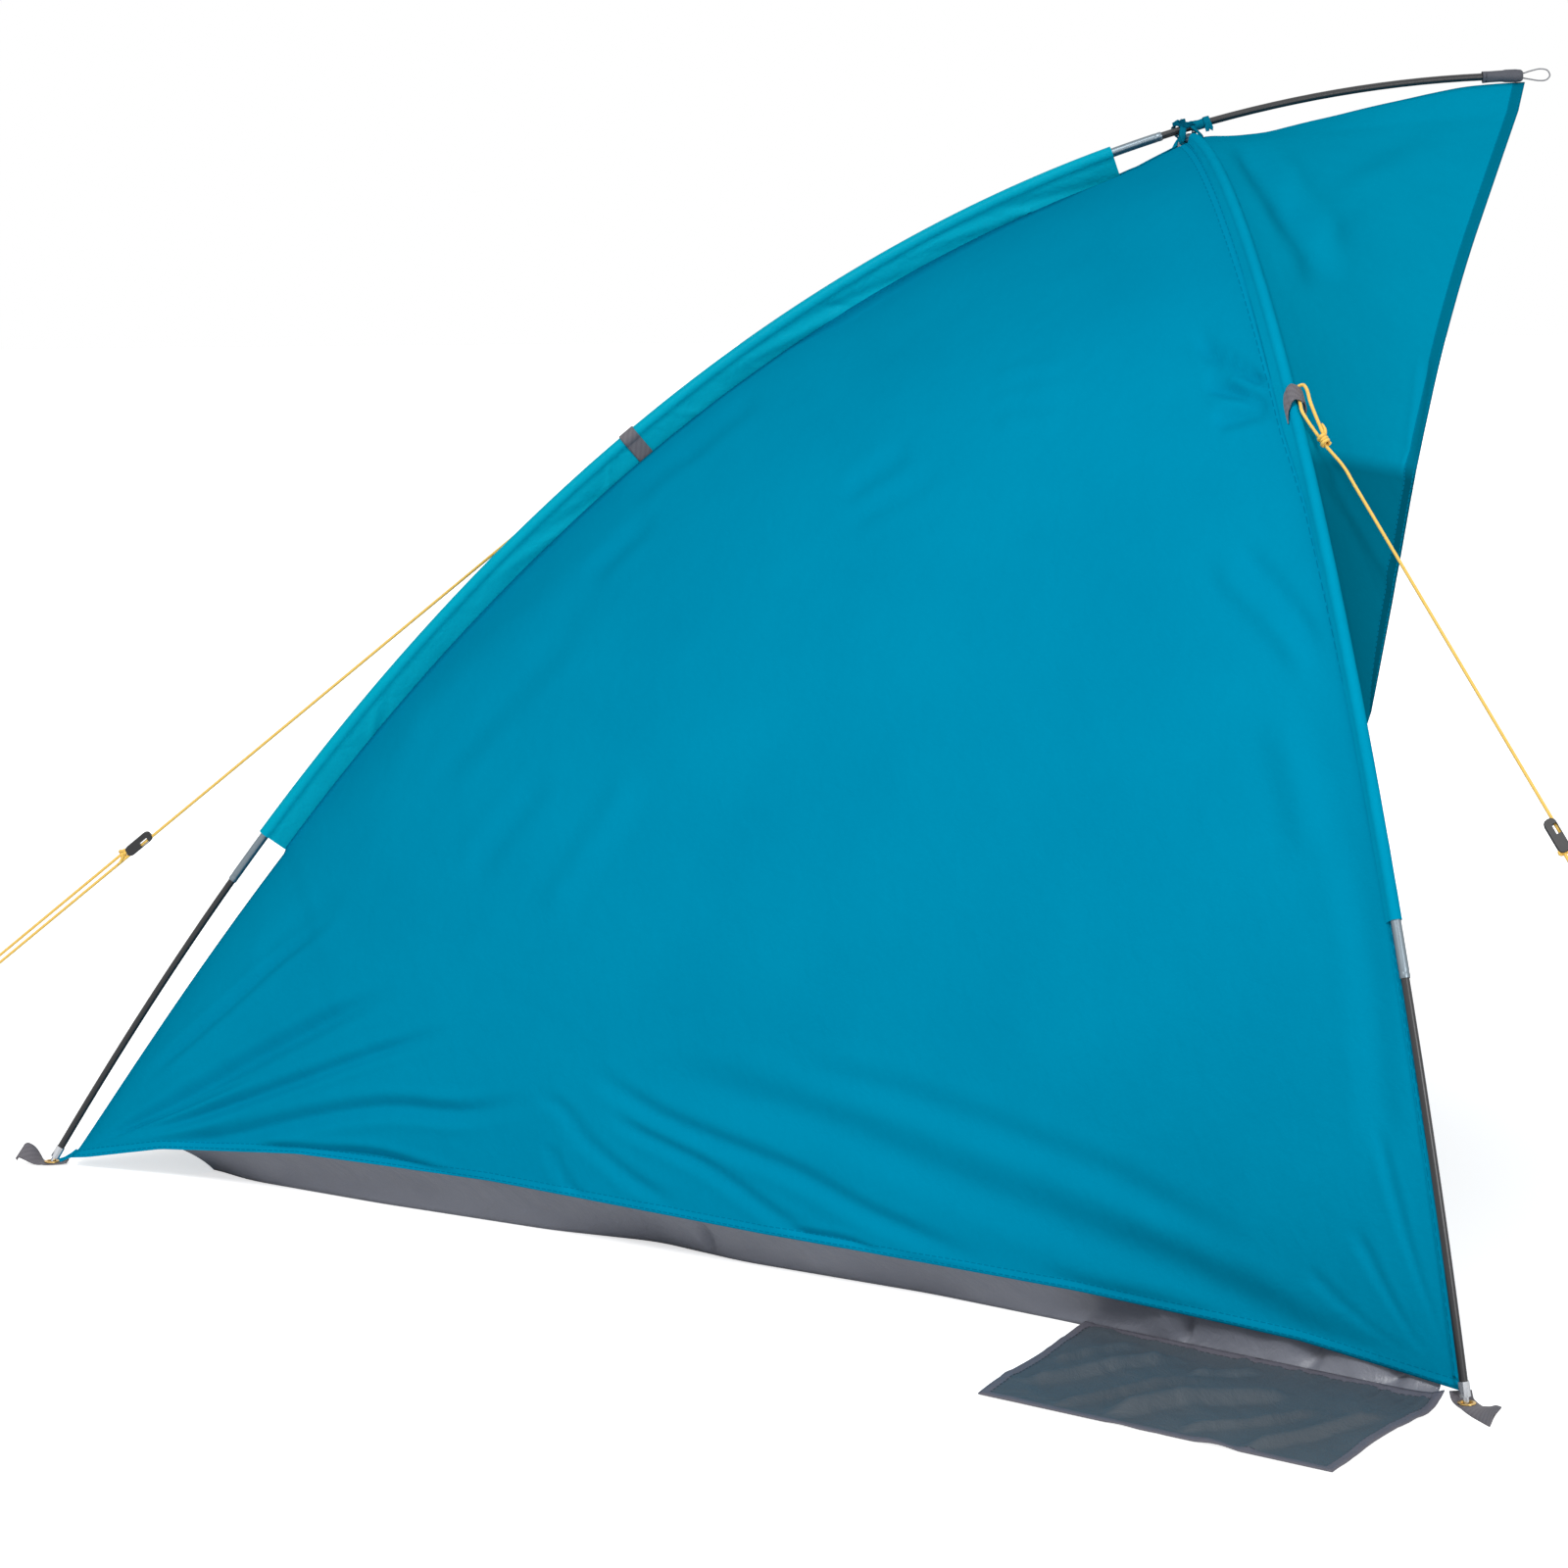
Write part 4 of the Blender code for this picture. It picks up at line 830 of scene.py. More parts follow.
# width and height of each fold and its line as seen from the side, in millimetres
PANEL_FOLDS = (
    # valleys that run out of the rear foot
    (10, -8.8, (826, 25), (715, 89), (600, 162), (512, 215), (441, 256)),
    (3, -2.9, (797, 41), (697, 91), (607, 137)),
    (7, -6.2, (787, 41), (680, 82), (568, 133), (460, 183), (364, 223)),
    (6, -4.3, (750, 115), (651, 204), (585, 265), (512, 325)),
    (10, -6.8, (748, 37), (654, 59), (549, 96), (447, 124), (353, 131), (275, 159)),
    (8, -7.8, (620, 52), (540, 57), (460, 64), (400, 56), (345, 46)),
    # folds and pinches above the middle of the hem
    (8, -4, (269, 165), (245, 153), (215, 119), (171, 87), (118, 61)),
    (6, -4, (259, 113), (250, 88), (233, 62), (213, 46)),
    (8, -4.6, (187, 161), (171, 144), (117, 123), (75, 106), (13, 70), (-33, 47)),
    (10, -5.3, (214, 205), (194, 189), (138, 160), (54, 136), (-16, 117), (-79, 90), (-138, 72),
     (-206, 55)),
    (5, -4.5, (-2, 54), (-35, 55), (-68, 53), (-105, 41)),
    (4, -2.8, (-110, 46), (-165, 44), (-215, 40)),
    # the two long valleys that run into the front foot
    (21, -6.4, (148, 214), (116, 203), (27, 189), (-59, 171), (-143, 145), (-221, 124),
     (-320, 98), (-386, 82), (-449, 61), (-511, 44), (-568, 39), (-608, 31)),
    (15, -3.5, (1, 239), (-40, 226), (-110, 219), (-178, 204), (-240, 188), (-310, 169),
     (-385, 139), (-454, 106)),
    (10, -2.4, (-254, 57), (-291, 48), (-365, 44), (-436, 36)),
    # narrow folds that fan out of the front foot beside the front edge
    (5, -2.4, (-561, 253), (-569, 218), (-586, 150), (-610, 75), (-622, 40)),
    (7, -2.9, (-540, 155), (-550, 135), (-575, 85), (-602, 45), (-618, 34)),
    (14, -3.6, (-546, 525), (-550, 480), (-558, 390), (-563, 299), (-569, 208)),
    (8, -2, (-497, 109), (-531, 77), (-573, 48), (-606, 34)),
    # pulled by the webbing tab on the arch
    (8, -8.5, (-439, 988), (-470, 965), (-506, 939)),
    (7, -6.7, (-443, 945), (-473, 937), (-504, 930)),
    (8, -5.9, (-448, 906), (-476, 915), (-503, 924)),
    (7, 5.9, (-457, 967), (-482, 950), (-504, 935)),
    # beside the arch below the tab
    (11, 4.3, (-439, 775), (-450, 758), (-497, 704), (-518, 668)),
    (10, -3.6, (-462, 786), (-507, 731), (-528, 690)),
    (17, 4.3, (-484, 629), (-500, 575), (-512, 494)),
    # short folds below the ridge sleeve
    (9, -5, (113, 840), (56, 887), (16, 915)),
    (9, -4.6, (170, 796), (120, 839), (90, 862)),
    (9, -4.6, (215, 711), (169, 756), (141, 779)),
    (9, -4.2, (-72, 818), (-107, 843), (-147, 872)),
    (8, -3.8, (-73, 788), (-123, 817), (-173, 842)),
    (6, 3.5, (-237, 943), (-273, 954), (-308, 962)),
    (6, 3.5, (-235, 920), (-271, 930), (-305, 932)),
    (6, 3.5, (-234, 897), (-269, 904), (-303, 902)),
    # broad slanted folds in the rear half
    (14, 3.6, (262, 356), (212, 431), (157, 517)),
    (13, -3.1, (348, 383), (302, 450), (257, 506)),
    (13, -2.9, (611, 262), (564, 303), (503, 355)),
    (18, 4.2, (461, 489), (367, 593), (261, 687), (193, 754)),
    (14, -3.6, (398, 478), (317, 569), (225, 660)),
    # the hollow under the upper sleeve
    (55, -10.8, (-30, 965), (-150, 1020), (-300, 1080), (-440, 1130)),
)
HEM_FADE, SEAM_FADE = 0.010, 0.020
# height in metres, seed, and waves for each metre
PANEL_RIPPLES = ((0.0012, 1, 7.0), (0.0005, 2, 24.0))


def folded_panel():
    y, z = panel[..., 1], panel[..., 2]
    over, down = travelled(panel, 1), travelled(panel, 0)
    fade = (np.clip(over / HEM_FADE, 0, 1) * np.clip((over[:, -1:] - over) / SEAM_FADE, 0, 1)
            * np.clip((down[-1:] - down) / SEAM_FADE, 0, 1) * np.clip(down / SEAM_FADE, 0, 1))
    near_foot = np.minimum(np.hypot(y - rear_foot[1], z), np.hypot(y - front_foot[1], z))
    narrow = np.clip(near_foot / 0.2, 0.12, 1)
    lift = sum(height * ripple(y, z, seed, scale) for height, seed, scale in PANEL_RIPPLES)
    for fold in PANEL_FOLDS:
        lift += fold_height(y, z, fold, narrow)
    return panel + surface_normals(panel) * (lift * fade)[..., None]


def side_weave(grid):
    """Weave map of a side panel: along the hem, and up the slope at a right angle to it."""
    normal = unit(np.cross(side_way, [0.72, 0.40, 0.57]))
    up = unit(np.cross(normal, side_way))
    flat = grid - front_foot
    return np.stack([flat @ side_way, flat @ up], axis=2)


folded = folded_panel()
for name, side in SIDES:
    piece = sheet(f"side_panel_{name}_cloth", folded, 0.0008, teal_shell,
                  weave=side_weave(folded), edges=("col0", "row1", "col1"), side=side)
    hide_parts(f"side_panel_{name}")
    print(piece.name, "faces", len(piece.data.polygons))

# %% [markdown]
# ## Sleeves
# A sleeve is a strip folded round the pole and sewn to the panel with one seam. The pole pulls
# it into a drop shape: round at the pole and flat towards the seam. The cloth is longer than
# the curve of the pole, so the flat part puckers. The drop section is lofted along the pole
# with small waves across it, which only code can give the right length and place.

# %% Loft a sleeve
SLEEVE_R = 0.0080
ARCH_SLEEVE_R = 0.0064
SLEEVE_WALL = 0.0008
# slanted grooves: start along the pole, slant, half width and depth, all in metres
SLEEVE_GROOVES = ((0.700, -0.055, 0.006, 0.0040), (0.724, -0.055, 0.005, -0.0020),
                  (1.090, -0.030, 0.005, 0.0022), (1.165, 0.045, 0.005, 0.0022),
                  (1.380, 0.050, 0.007, -0.0026), (1.600, 0.070, 0.008, 0.0024),
                  (0.840, 0.160, 0.022, 0.0030), (0.900, 0.160, 0.022, -0.0026),
                  (1.200, 0.220, 0.030, 0.0040), (1.290, 0.220, 0.030, -0.0036),
                  (1.450, 0.240, 0.032, 0.0040), (1.550, 0.220, 0.030, -0.0036))


def drop_section(radius, seam, tip_half, angle, count=22):
    """Section round a pole: an arc about it and a flat tail down to the seam."""
    open_half = math.radians(40)
    arc = np.linspace(angle + open_half, angle + 2 * math.pi - open_half, count)
    points = [(radius * math.cos(a), radius * math.sin(a)) for a in arc]
    along = np.array([math.cos(angle), math.sin(angle)])
    beside = np.array([-along[1], along[0]])
    start, end = np.array(points[-1]), np.array(points[0])
    tail_low = along * seam - beside * tip_half
    tail_high = along * seam + beside * tip_half
    points += [tuple(start + (tail_low - start) * k / 6) for k in range(1, 6)]
    points += [tuple(tail_low), tuple(tail_high)]
    points += [tuple(tail_high + (end - tail_high) * k / 6) for k in range(1, 6)]
    return np.array(points)


def sleeve(name, pole, span, seam_at, angle, waves, side, stations, body_r, material):
    """Outer and inner skins joined at both open ends, with a weave map in metres."""
    lengths = np.linspace(*span, stations)
    beside = np.array([-math.sin(angle), math.cos(angle)])
    skins = []
    for radius, tip, inset in ((body_r, SLEEVE_WALL, 0.0),
                               (body_r - SLEEVE_WALL, 0.3 * SLEEVE_WALL, SLEEVE_WALL)):
        rings = []
        for s in lengths:
            seam = seam_at(s) - 2.5 * inset
            section = drop_section(radius, seam, tip, angle)
            away = np.linalg.norm(section, axis=1) / seam
            puff = np.clip(away - 0.25, 0, 1) * np.clip(1.12 - away, 0, 1) * 4
            section = section + (waves(s, away) * puff)[:, None] * beside
            rings.append([pole.place(s, *point) for point in section])
        skins.append(np.array(rings))
    outer, inner = skins
    sides = outer.shape[1]
    total = stations * sides
    vertices = np.concatenate([outer.reshape(-1, 3), inner.reshape(-1, 3)])
    faces = []
    for i in range(stations - 1):
        for j in range(sides):
            k = (j + 1) % sides
            a, b = i * sides + j, i * sides + k
            faces.append((a, b, b + sides, a + sides))
            faces.append((total + a + sides, total + b + sides, total + b, total + a))
    for end, flip in ((0, False), (stations - 1, True)):
        for j in range(sides):
            a, b = end * sides + j, end * sides + (j + 1) % sides
            face = (a, total + a, total + b, b)
            faces.append(face[::-1] if flip else face)
    obj = new_piece(name, sided(vertices, side), faces)
    mesh = obj.data
    round_it = travelled(outer[:1], 1)[0]
    for layer_name in ("weave", "seam"):
        layer = mesh.uv_layers.new(name=layer_name)
        for polygon in mesh.polygons:
            js = [v % sides for v in polygon.vertices]
            wraps = max(js) - min(js) > 1
            for corner, index in zip(polygon.loop_indices, polygon.vertices):
                i, j = divmod(index % total, sides)
                across = round_it[-1] + 0.001 if wraps and j == 0 else round_it[j]
                layer.data[corner].uv = (lengths[i], across)
    build = bmesh.new()
    build.from_mesh(mesh)
    bmesh.ops.recalc_face_normals(build, faces=build.faces)
    build.to_mesh(mesh)
    build.free()
    mesh.set_sharp_from_angle(angle=math.radians(60))
    mesh.materials.append(material)
    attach(obj, "tent")
    return obj


LONG_WAVE, PUCKER, BAND_HOLDS = 0.0024, 0.0011, 0.018


def ridge_waves(s, away):
    """Long soft waves and short puckers, held flat under the webbing band."""
    long_wave = np.array([noise.noise(Vector((s * 11.0 + a * 1.1, 3.1, 0.0))) for a in away])
    pucker = PUCKER * noise.noise(Vector((s * 55.0, 9.7, 0.5))) * np.clip(away - 0.45, 0, 1) * 2
    groove = sum(depth * np.exp(-((s - start - away * lean) / wide) ** 2)
                 for start, lean, wide, depth in SLEEVE_GROOVES)
    held = math.exp(-((s - RIDGE_BAND) / BAND_HOLDS) ** 4)
    return (LONG_WAVE * long_wave + pucker - groove) * (1 - held)


def arch_waves(s, away):
    return 0.0005 * noise.noise(Vector((s * 40.0, 1.3, 2.0))) * np.ones_like(away)


ridge_sleeve = sleeve("ridge_sleeve_cloth", ridge, RIDGE_SLEEVE, lambda s: RIDGE_SEAM,
                      math.radians(-90), ridge_waves, NEAR, 520, SLEEVE_R, teal_ridge)
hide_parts("ridge_sleeve")
for name, side in SIDES:
    piece = sleeve(f"arch_sleeve_{name}_cloth", arch, ARCH_SLEEVE, arch_seam, SEAM_ANGLE,
                   arch_waves, side, 300, ARCH_SLEEVE_R, teal_arch)
    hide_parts(f"arch_sleeve_{name}")
print("three sleeves")

# %% [markdown]
# ## Awning
# The awning runs from the arch forward to a free hem that is stretched between the ridge pole's
# tip and a point low on each side of the arch. It is one sheet over both sides. Its lower
# corners hang a little slack, and a long crease runs from the webbing tab to the hem.

# %% Awning sheet
AWNING_LOW = 0.669
AWNING_TIP = np.array([0.0, -0.236 + FEET_Y, 1.2655])
AWNING_CORNER = np.array([-0.880, 0.050 + FEET_Y, 0.636])
AWNING_TOP = ((1.888, 0.0146), (1.920, 0.0235), (1.960, 0.0290), (2.045, 0.0260),
              (2.128, 0.0190), (2.200, 0.0105), (2.271, 0.0076))
AWNING_HEM = ((0.0, -0.012), (0.17, 0.002), (0.32, 0.014), (0.47, 0.020), (0.65, 0.020),
              (0.83, 0.015), (1.0, 0.012))


def awning_line(s, shares):
    """One row of the awning from the arch forward to its hem, and its share of the way down."""
    half = ARCH_END / 2
    t = (half - s) / (half - AWNING_LOW)
    hem = AWNING_TIP + t * (AWNING_CORNER - AWNING_TIP)
    hem = hem + np.array([0, soft_interp(t, AWNING_HEM, 0.05), 0])
    clear = ARCH_SLEEVE_R + 0.0008 + 0.014 * max(0.0, 1 - (half - s) / 0.08)
    start = arch.around(s, clear, math.radians(205))
    slack = 0.012 * math.sin(math.pi * t) ** 0.7
    row = [start + v * (hem - start) - slack * 4 * v * (1 - v) * arch.out(s) for v in shares]
    return row, t


def make_awning():
    shares = spread(((0.0, 90), (1.0, 0)), (0.0, 0.008, 0.020, 0.026, 0.036))
    span = AWNING_TOP[-1][0] - AWNING_TOP[0][0]
    top = [ridge.place(s, 0.0, -soft_interp(s, AWNING_TOP))
           for s in AWNING_TOP[0][0] + shares * span]
    first, first_t = awning_line(ARCH_SLEEVE[1], shares)
    rows, downs = [], []
    for k in range(8):
        rows.append(np.array(top) + k / 8 * (np.array(first) - np.array(top)))
        downs.append(first_t * k / 8)
    for s in np.linspace(ARCH_SLEEVE[1], AWNING_LOW, 150):
        row, t = awning_line(s, shares)
        rows.append(row)
        downs.append(t)
    near = np.array(rows)
    t, v = np.meshgrid(downs, shares, indexing="ij")
    y, z = near[..., 1], near[..., 2]
    lift = sum(fold_height(y, z, fold) for fold in AWNING_FOLDS) + 0.0016 * ripple(y, z, 5, 9.0)
    fade = np.clip(9 * v, 0, 1) * np.clip(6 * t, 0, 1) * np.clip(8 * (1 - t), 0, 1)
    fade = fade * np.clip(9 * (1 - v), 0, 1)
    near = near + surface_normals(near) * (lift * fade)[..., None]
    return np.concatenate([near[::-1], sided(near[1:], FAR)])


AWNING_FOLDS = (
    # folds that run from the arch up to the tip
    (16, 5, (-545, 1060), (-672, 1145), (-800, 1215)),
    (14, -4, (-535, 1110), (-650, 1175), (-760, 1228)),
    # the hollow beside the sleeve
    (20, -11, (-533, 1215), (-550, 1163), (-577, 1097), (-590, 1040)),
    # the crease from the webbing tab to the hem and the one down from it
    (10, -5, (-540, 885), (-615, 866), (-690, 850)),
    (9, -3.5, (-545, 870), (-595, 800), (-640, 720)),
    # a narrow upright fold next to the hem
    (6, 4, (-700, 965), (-680, 905), (-660, 850)),
)
awning_grid = make_awning()
awning = sheet("awning_cloth", awning_grid, 0.0008, teal_awning,
               edges=("col1",))
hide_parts("awning")

# %% [markdown]
# ## Groundsheet
# The floor is a thicker grey cloth. Its side walls rise a few centimetres and are sewn under
# the panels' hems, so dust stays out. The wall is cut a little long and hangs in shallow
# vertical creases; the floor's edge bulges outwards where the walls pull least.

# %% Groundsheet with its low walls
GROUND_CLOTH = 0.001
GROUND_EDGE = ((0.016, 0.010), (0.25, -0.052), (0.35, -0.070), (0.48, -0.072), (0.55, -0.092),
               (0.62, -0.070), (0.75, -0.062), (0.86, -0.066), (0.9, -0.085))
GROUND_SHARES = (0.0170, 0.9)
WALL_SAG, WALL_WAVE, WALL_RIPPLE = -0.016, 0.006, 0.0025
# place along the wall, half width and depth of its creases
WALL_CREASES = ((0.073, 0.008, -0.006), (0.110, 0.020, 0.003), (0.167, 0.009, -0.007),
                (0.205, 0.020, 0.004), (0.318, 0.006, -0.008), (0.345, 0.016, 0.004),
                (0.938, 0.006, -0.008))


def make_groundsheet():
    rows = []
    for share in np.linspace(*GROUND_SHARES, 420):
        out = soft_interp(share, GROUND_EDGE)
        edge = front_foot + side_way * side_length * share + side_out * out
        edge[2] = GROUND_CLOTH / 2
        top = hem_point(share) - side_out * 0.005 + np.array([0, 0, 0.0025])
        row = []
        for v in np.linspace(0, 1, 12):
            point = top + v * (edge - top)
            s = share * side_length
            crease = (WALL_WAVE * noise.noise(Vector((s * 7.0, 4.2, 0)))
                      + WALL_RIPPLE * noise.noise(Vector((s * 30.0, 1.7, v * 0.8)))
                      + sum(depth * math.exp(-((s - at - 0.01 * v) / wide) ** 2)
                            for at, wide, depth in WALL_CREASES))
            sag = WALL_SAG * v * (1 - v) + crease * 4 * v * (1 - v)
            row.append(point + side_out * sag)
        for x in np.linspace(edge[0], -edge[0], 31)[1:-1]:
            row.append(np.array([x, edge[1], edge[2]]))
        row = np.array(row)
        far = sided(row[:12], FAR)[::-1]
        rows.append(np.concatenate([row, far]))
    return np.array(rows)


ground_grid = make_groundsheet()
ground = sheet("groundsheet_cloth", ground_grid, GROUND_CLOTH, grey_ground,
               edges=("col0", "col1"))
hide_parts("groundsheet")
print("groundsheet area", round(grid_area(ground_grid), 3), "m2")

# %% [markdown]
# ## Sand flaps
# Outside each front corner a slate flap is sewn to the wall. It lies on the ground, is loaded with
# sand or stones against the wind, and can turn up about its seam: then the strip beside the seam
# stays with the wall and the next two centimetres bend. Here it is built lying down, raised a
# little beside its seam. The free edges are hemmed with one fold of cloth, which shows as a
# slightly raised band.

# %% Sand flaps
FLAP_CORNERS = ((0.019, 0.0090), (0.452, -0.0474), (0.406, 0.225), (0.003, 0.262))
FLAP_CLOTH = 0.0012
HEM_WIDTH, HEM_RISES = 0.010, 0.0008
FLAP_WAVE, FLAP_CREASE, FLAP_PUCKER = 0.010, 0.0042, 0.0150
SEAM_RISES, CORNER_RISES = 0.007, 0.006
# folds across the flap, their lines measured from its front seam corner
FLAP_FOLDS = (
    (12, 13, (275, 245), (210, 160), (130, 75)),
    (9, 10, (105, 255), (60, 170), (25, 80)),
    (9, 10, (395, 210), (330, 120), (270, 40)),
    (7, 7.5, (185, 245), (135, 190), (85, 100)),
    (7, 7.5, (335, 250), (280, 170), (225, 80)),
    (6, 6, (400, 130), (360, 70), (330, 30)),
    (6, 6, (250, 90), (220, 55), (190, 25)),
)


def make_flap():
    corners = [front_foot + side_way * a + side_out * out + np.array([0, 0, FLAP_CLOTH / 2])
               for a, out in FLAP_CORNERS]
    seam_front, seam_rear, outer_rear, outer_front = corners
    us = spread(((0.0, 90), (1.0, 0)), (0.0, 0.012, 0.024, 0.028, 0.034))
    vs = spread(((0.0, 60), (1.0, 0)), (0.0, 0.020, 0.038, 0.044, 0.052))
    rows = []
    for u in us:
        low = seam_front + u * (seam_rear - seam_front)
        high = outer_front + u * (outer_rear - outer_front)
        row = []
        for v in vs:
            point = low + v * (high - low)
            wave = FLAP_WAVE * v * (1 - v) * 4 * math.sin(math.pi * (u * 1.6 + v * 0.9)) ** 2
            edge = min(u * 0.41, (1 - u) * 0.41, (1 - v) * 0.27)
            hem = HEM_RISES if edge < HEM_WIDTH else 0.0
            fine = FLAP_CREASE * noise.noise(Vector((u * 8.0 + v * 5.0, v * 5.0, 8.0)))
            pucker = (FLAP_PUCKER * noise.noise(Vector((u * 30.0, 0.4, v * 2.0)))
                      * math.exp(-v / 0.11))
            lift = (0.5 * wave + max(0.0, fine) + abs(pucker)) * min(1.0, v * 12)
            sewn_up = (SEAM_RISES * max(0.0, 1 - v / 0.09) ** 1.5 * (1 - 0.5 * u)
                       + CORNER_RISES * math.exp(-u / 0.03) * max(0.0, 1 - v / 0.15))
            row.append(point + np.array([0, 0, lift + hem + sewn_up]))
        rows.append(row)
    rows = np.array(rows)
    across, down = np.meshgrid(us * 0.42, vs * 0.26, indexing="ij")
    folds = sum(fold_height(across, down, fold) for fold in FLAP_FOLDS)
    rows[..., 2] += np.maximum(folds, 0.0)
    return rows


flap_grid = make_flap()
# out from the seam: the cloth would stay with the wall up to the first and turn from the second;
# the two points are worked out, but the flap is not turned
SEAM_STAYS, FLAP_TURNS = 0.006, 0.030
seam_ends = [front_foot + side_way * a + side_out * out for a, out in FLAP_CORNERS[:2]]
seam_way = unit(seam_ends[1] - seam_ends[0])
seam_out = np.array([-seam_way[1], seam_way[0], 0.0])
for name, side in SIDES:
    flap = sheet(f"sand_flap_{name}_cloth", flap_grid, FLAP_CLOTH, grey_flap,
                 edges=("row0", "row1", "col0", "col1"), side=side, fixed=False)
    stays, turns = (tuple(sided(seam_ends[0] + seam_out * away, side))
                    for away in (SEAM_STAYS, FLAP_TURNS))
    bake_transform(flap)
    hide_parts(f"sand_flap_{name}")
print("flap area", round(grid_area(flap_grid), 4), "m2")

# %% [markdown]
# ## Webbing
# The tabs at the feet and the bands for the guy lines are grey polypropylene webbing, woven
# with ribs across its width and a firm edge. The ribs are 1.5 mm apart, drawn at 2 mm.

# %% Ribbed webbing
RIB = 0.0020
WEBBING = 0.0012
WEB_WIDTH = 0.022


def ribbed(name, light, dark):
    material, tree, shader = new_material(name)
    uv = add_node(tree, "ShaderNodeUVMap", uv_map="weave")
    ribs = add_node(tree, "ShaderNodeTexWave", {"Vector": (uv, "UV"),
                                                "Scale": WAVE_PERIOD / RIB},
                    bands_direction="Y", wave_profile="SIN")
    yarns = add_node(tree, "ShaderNodeTexWave", {"Vector": (uv, "UV"),
                                                 "Scale": WAVE_PERIOD / (2 * RIB)},
                     bands_direction="DIAGONAL", wave_profile="SIN")
    both = add_node(tree, "ShaderNodeMath", {0: (ribs, "Fac"), 1: (yarns, "Fac")},
                    operation="MULTIPLY")
    fuzz = add_node(tree, "ShaderNodeTexNoise", {"Vector": (uv, "UV"), "Scale": 350.0})
    shade = add_node(tree, "ShaderNodeMath", {0: (fuzz, "Fac"), 1: 0.5, 2: (both, "Value")},
                     operation="MULTIPLY_ADD")
    mix = add_node(tree, "ShaderNodeMix", {0: (shade, "Value"), 6: hex_colour(dark),
                                           7: hex_colour(light)}, data_type="RGBA")
    bump = add_node(tree, "ShaderNodeBump", {"Height": (shade, "Value"), "Strength": 0.35,
                                             "Distance": 0.0004})
    set_inputs(tree, shader, {"Base Color": (mix, 2), "Normal": (bump, "Normal"),
                              "Roughness": 0.7, "Sheen Weight": 0.1})
    return material


grey_webbing = ribbed("grey_polypropylene_webbing", "#6C696F", "#57545A")
pale_webbing = ribbed("pale_polypropylene_webbing", "#B4B6BA", "#8F9196")


def strip(name, path, wide, thickness=WEBBING, material=None, side=NEAR):
    """A flat strip along a path. Its half width is one vector or one for each station."""
    route = smooth_route(path, 6)
    shares = np.linspace(-1, 1, 9)
    wide = np.asarray(wide, float)
    grid = np.array([[point + share * (wide[i] if wide.ndim == 2 else wide)
                      for share in shares] for i, point in enumerate(route)])
    return sheet(name, grid, thickness, material or grey_webbing, edges=("col0",),
                 side=side)


print("webbing rib drawn at", RIB * 1000, "mm")

# %% [markdown]
# ## Feet
# Each pole ends in a steel cup with a round pin that stands in a brass eyelet, pressed into a
# webbing tab. A second strip runs on past the eyelet: a curled loop at the rear foot and a
# loose tail at the front feet, for a peg or for pulling the tab over the pin. The hole is cut
# with a Boolean, as a punch would, and the eyelet is spun from its section.

# %% Brass eyelets
EYELET_SECTION = ((0.0052, 0.0001), (0.0072, 0.0000), (0.0090, 0.0003), (0.0091, 0.0008),
                  (0.0080, 0.0009), (0.0060, 0.0010), (0.0060, 0.0026), (0.0080, 0.0028),
                  (0.0090, 0.0030), (0.0088, 0.0036), (0.0072, 0.0040), (0.0058, 0.0038),
                  (0.0052, 0.0030))


def spun(name, section, centre):
    """A closed section of (radius, height) spun about an upright axis through a centre."""
    bpy.ops.object.select_all(action="DESELECT")
    bpy.ops.mesh.primitive_circle_add(vertices=len(section), radius=0.01)
    obj = bpy.context.active_object
    obj.name = name
    for vertex, (radius, height) in zip(obj.data.vertices, section):
        vertex.co = (radius, 0.0, height)
    bpy.ops.object.mode_set(mode="EDIT")
    bpy.ops.mesh.select_all(action="SELECT")
    bpy.ops.mesh.spin(steps=48, angle=2 * math.pi, center=(0, 0, 0), axis=(0, 0, 1))
    bpy.ops.mesh.select_all(action="SELECT")
    bpy.ops.mesh.remove_doubles(threshold=0.00001)
    bpy.ops.mesh.normals_make_consistent(inside=False)
    bpy.ops.object.mode_set(mode="OBJECT")
    obj.data.transform(Matrix.Translation(Vector(centre)))
    select_only(obj)
    bpy.ops.object.shade_smooth_by_angle(angle=math.radians(40))
    return obj


def metal(name, code, roughness, spots):
    """Bright metal with a little uneven tarnish."""
    material, tree, shader = new_material(name)
    place = add_node(tree, "ShaderNodeTexCoord")
    tarnish = add_node(tree, "ShaderNodeTexNoise", {"Vector": (place, "Object"),
                                                    "Scale": spots, "Detail": 5.0})
    level = add_node(tree, "ShaderNodeMapRange", {"Value": (tarnish, "Fac"),
                                                  "To Min": roughness * 0.7,
                                                  "To Max": roughness * 1.5})
    set_inputs(tree, shader, {"Base Color": hex_colour(code), "Metallic": 1.0,
                              "Roughness": (level, "Result")})
    return material


brass = metal("plated_brass", "#D9B36A", 0.28, 400.0)
plated_steel = metal("zinc_plated_steel", "#D6D9DE", 0.22, 260.0)
dull_steel = metal("dull_zinc_ferrule_steel", "#7F8B93", 0.34, 260.0)
PIN_R = 0.003
slant = PIN_R / math.tan(RIDGE_FOOT_SLOPE) / 2
pins = {"rear": rear_foot - np.array([0, slant, 0]), "near": front_foot,
        "far": sided(front_foot, FAR)}
for name, pin in pins.items():
    eyelet = spun(f"eyelet_{name}_brass", EYELET_SECTION, tuple(pin))
    eyelet.data.materials.append(brass)
    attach(eyelet, "tent")
    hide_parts(f"eyelet_{name}")
print("three eyelets")


# %% Webbing tabs with a punched hole
PUNCH_R = 0.0061


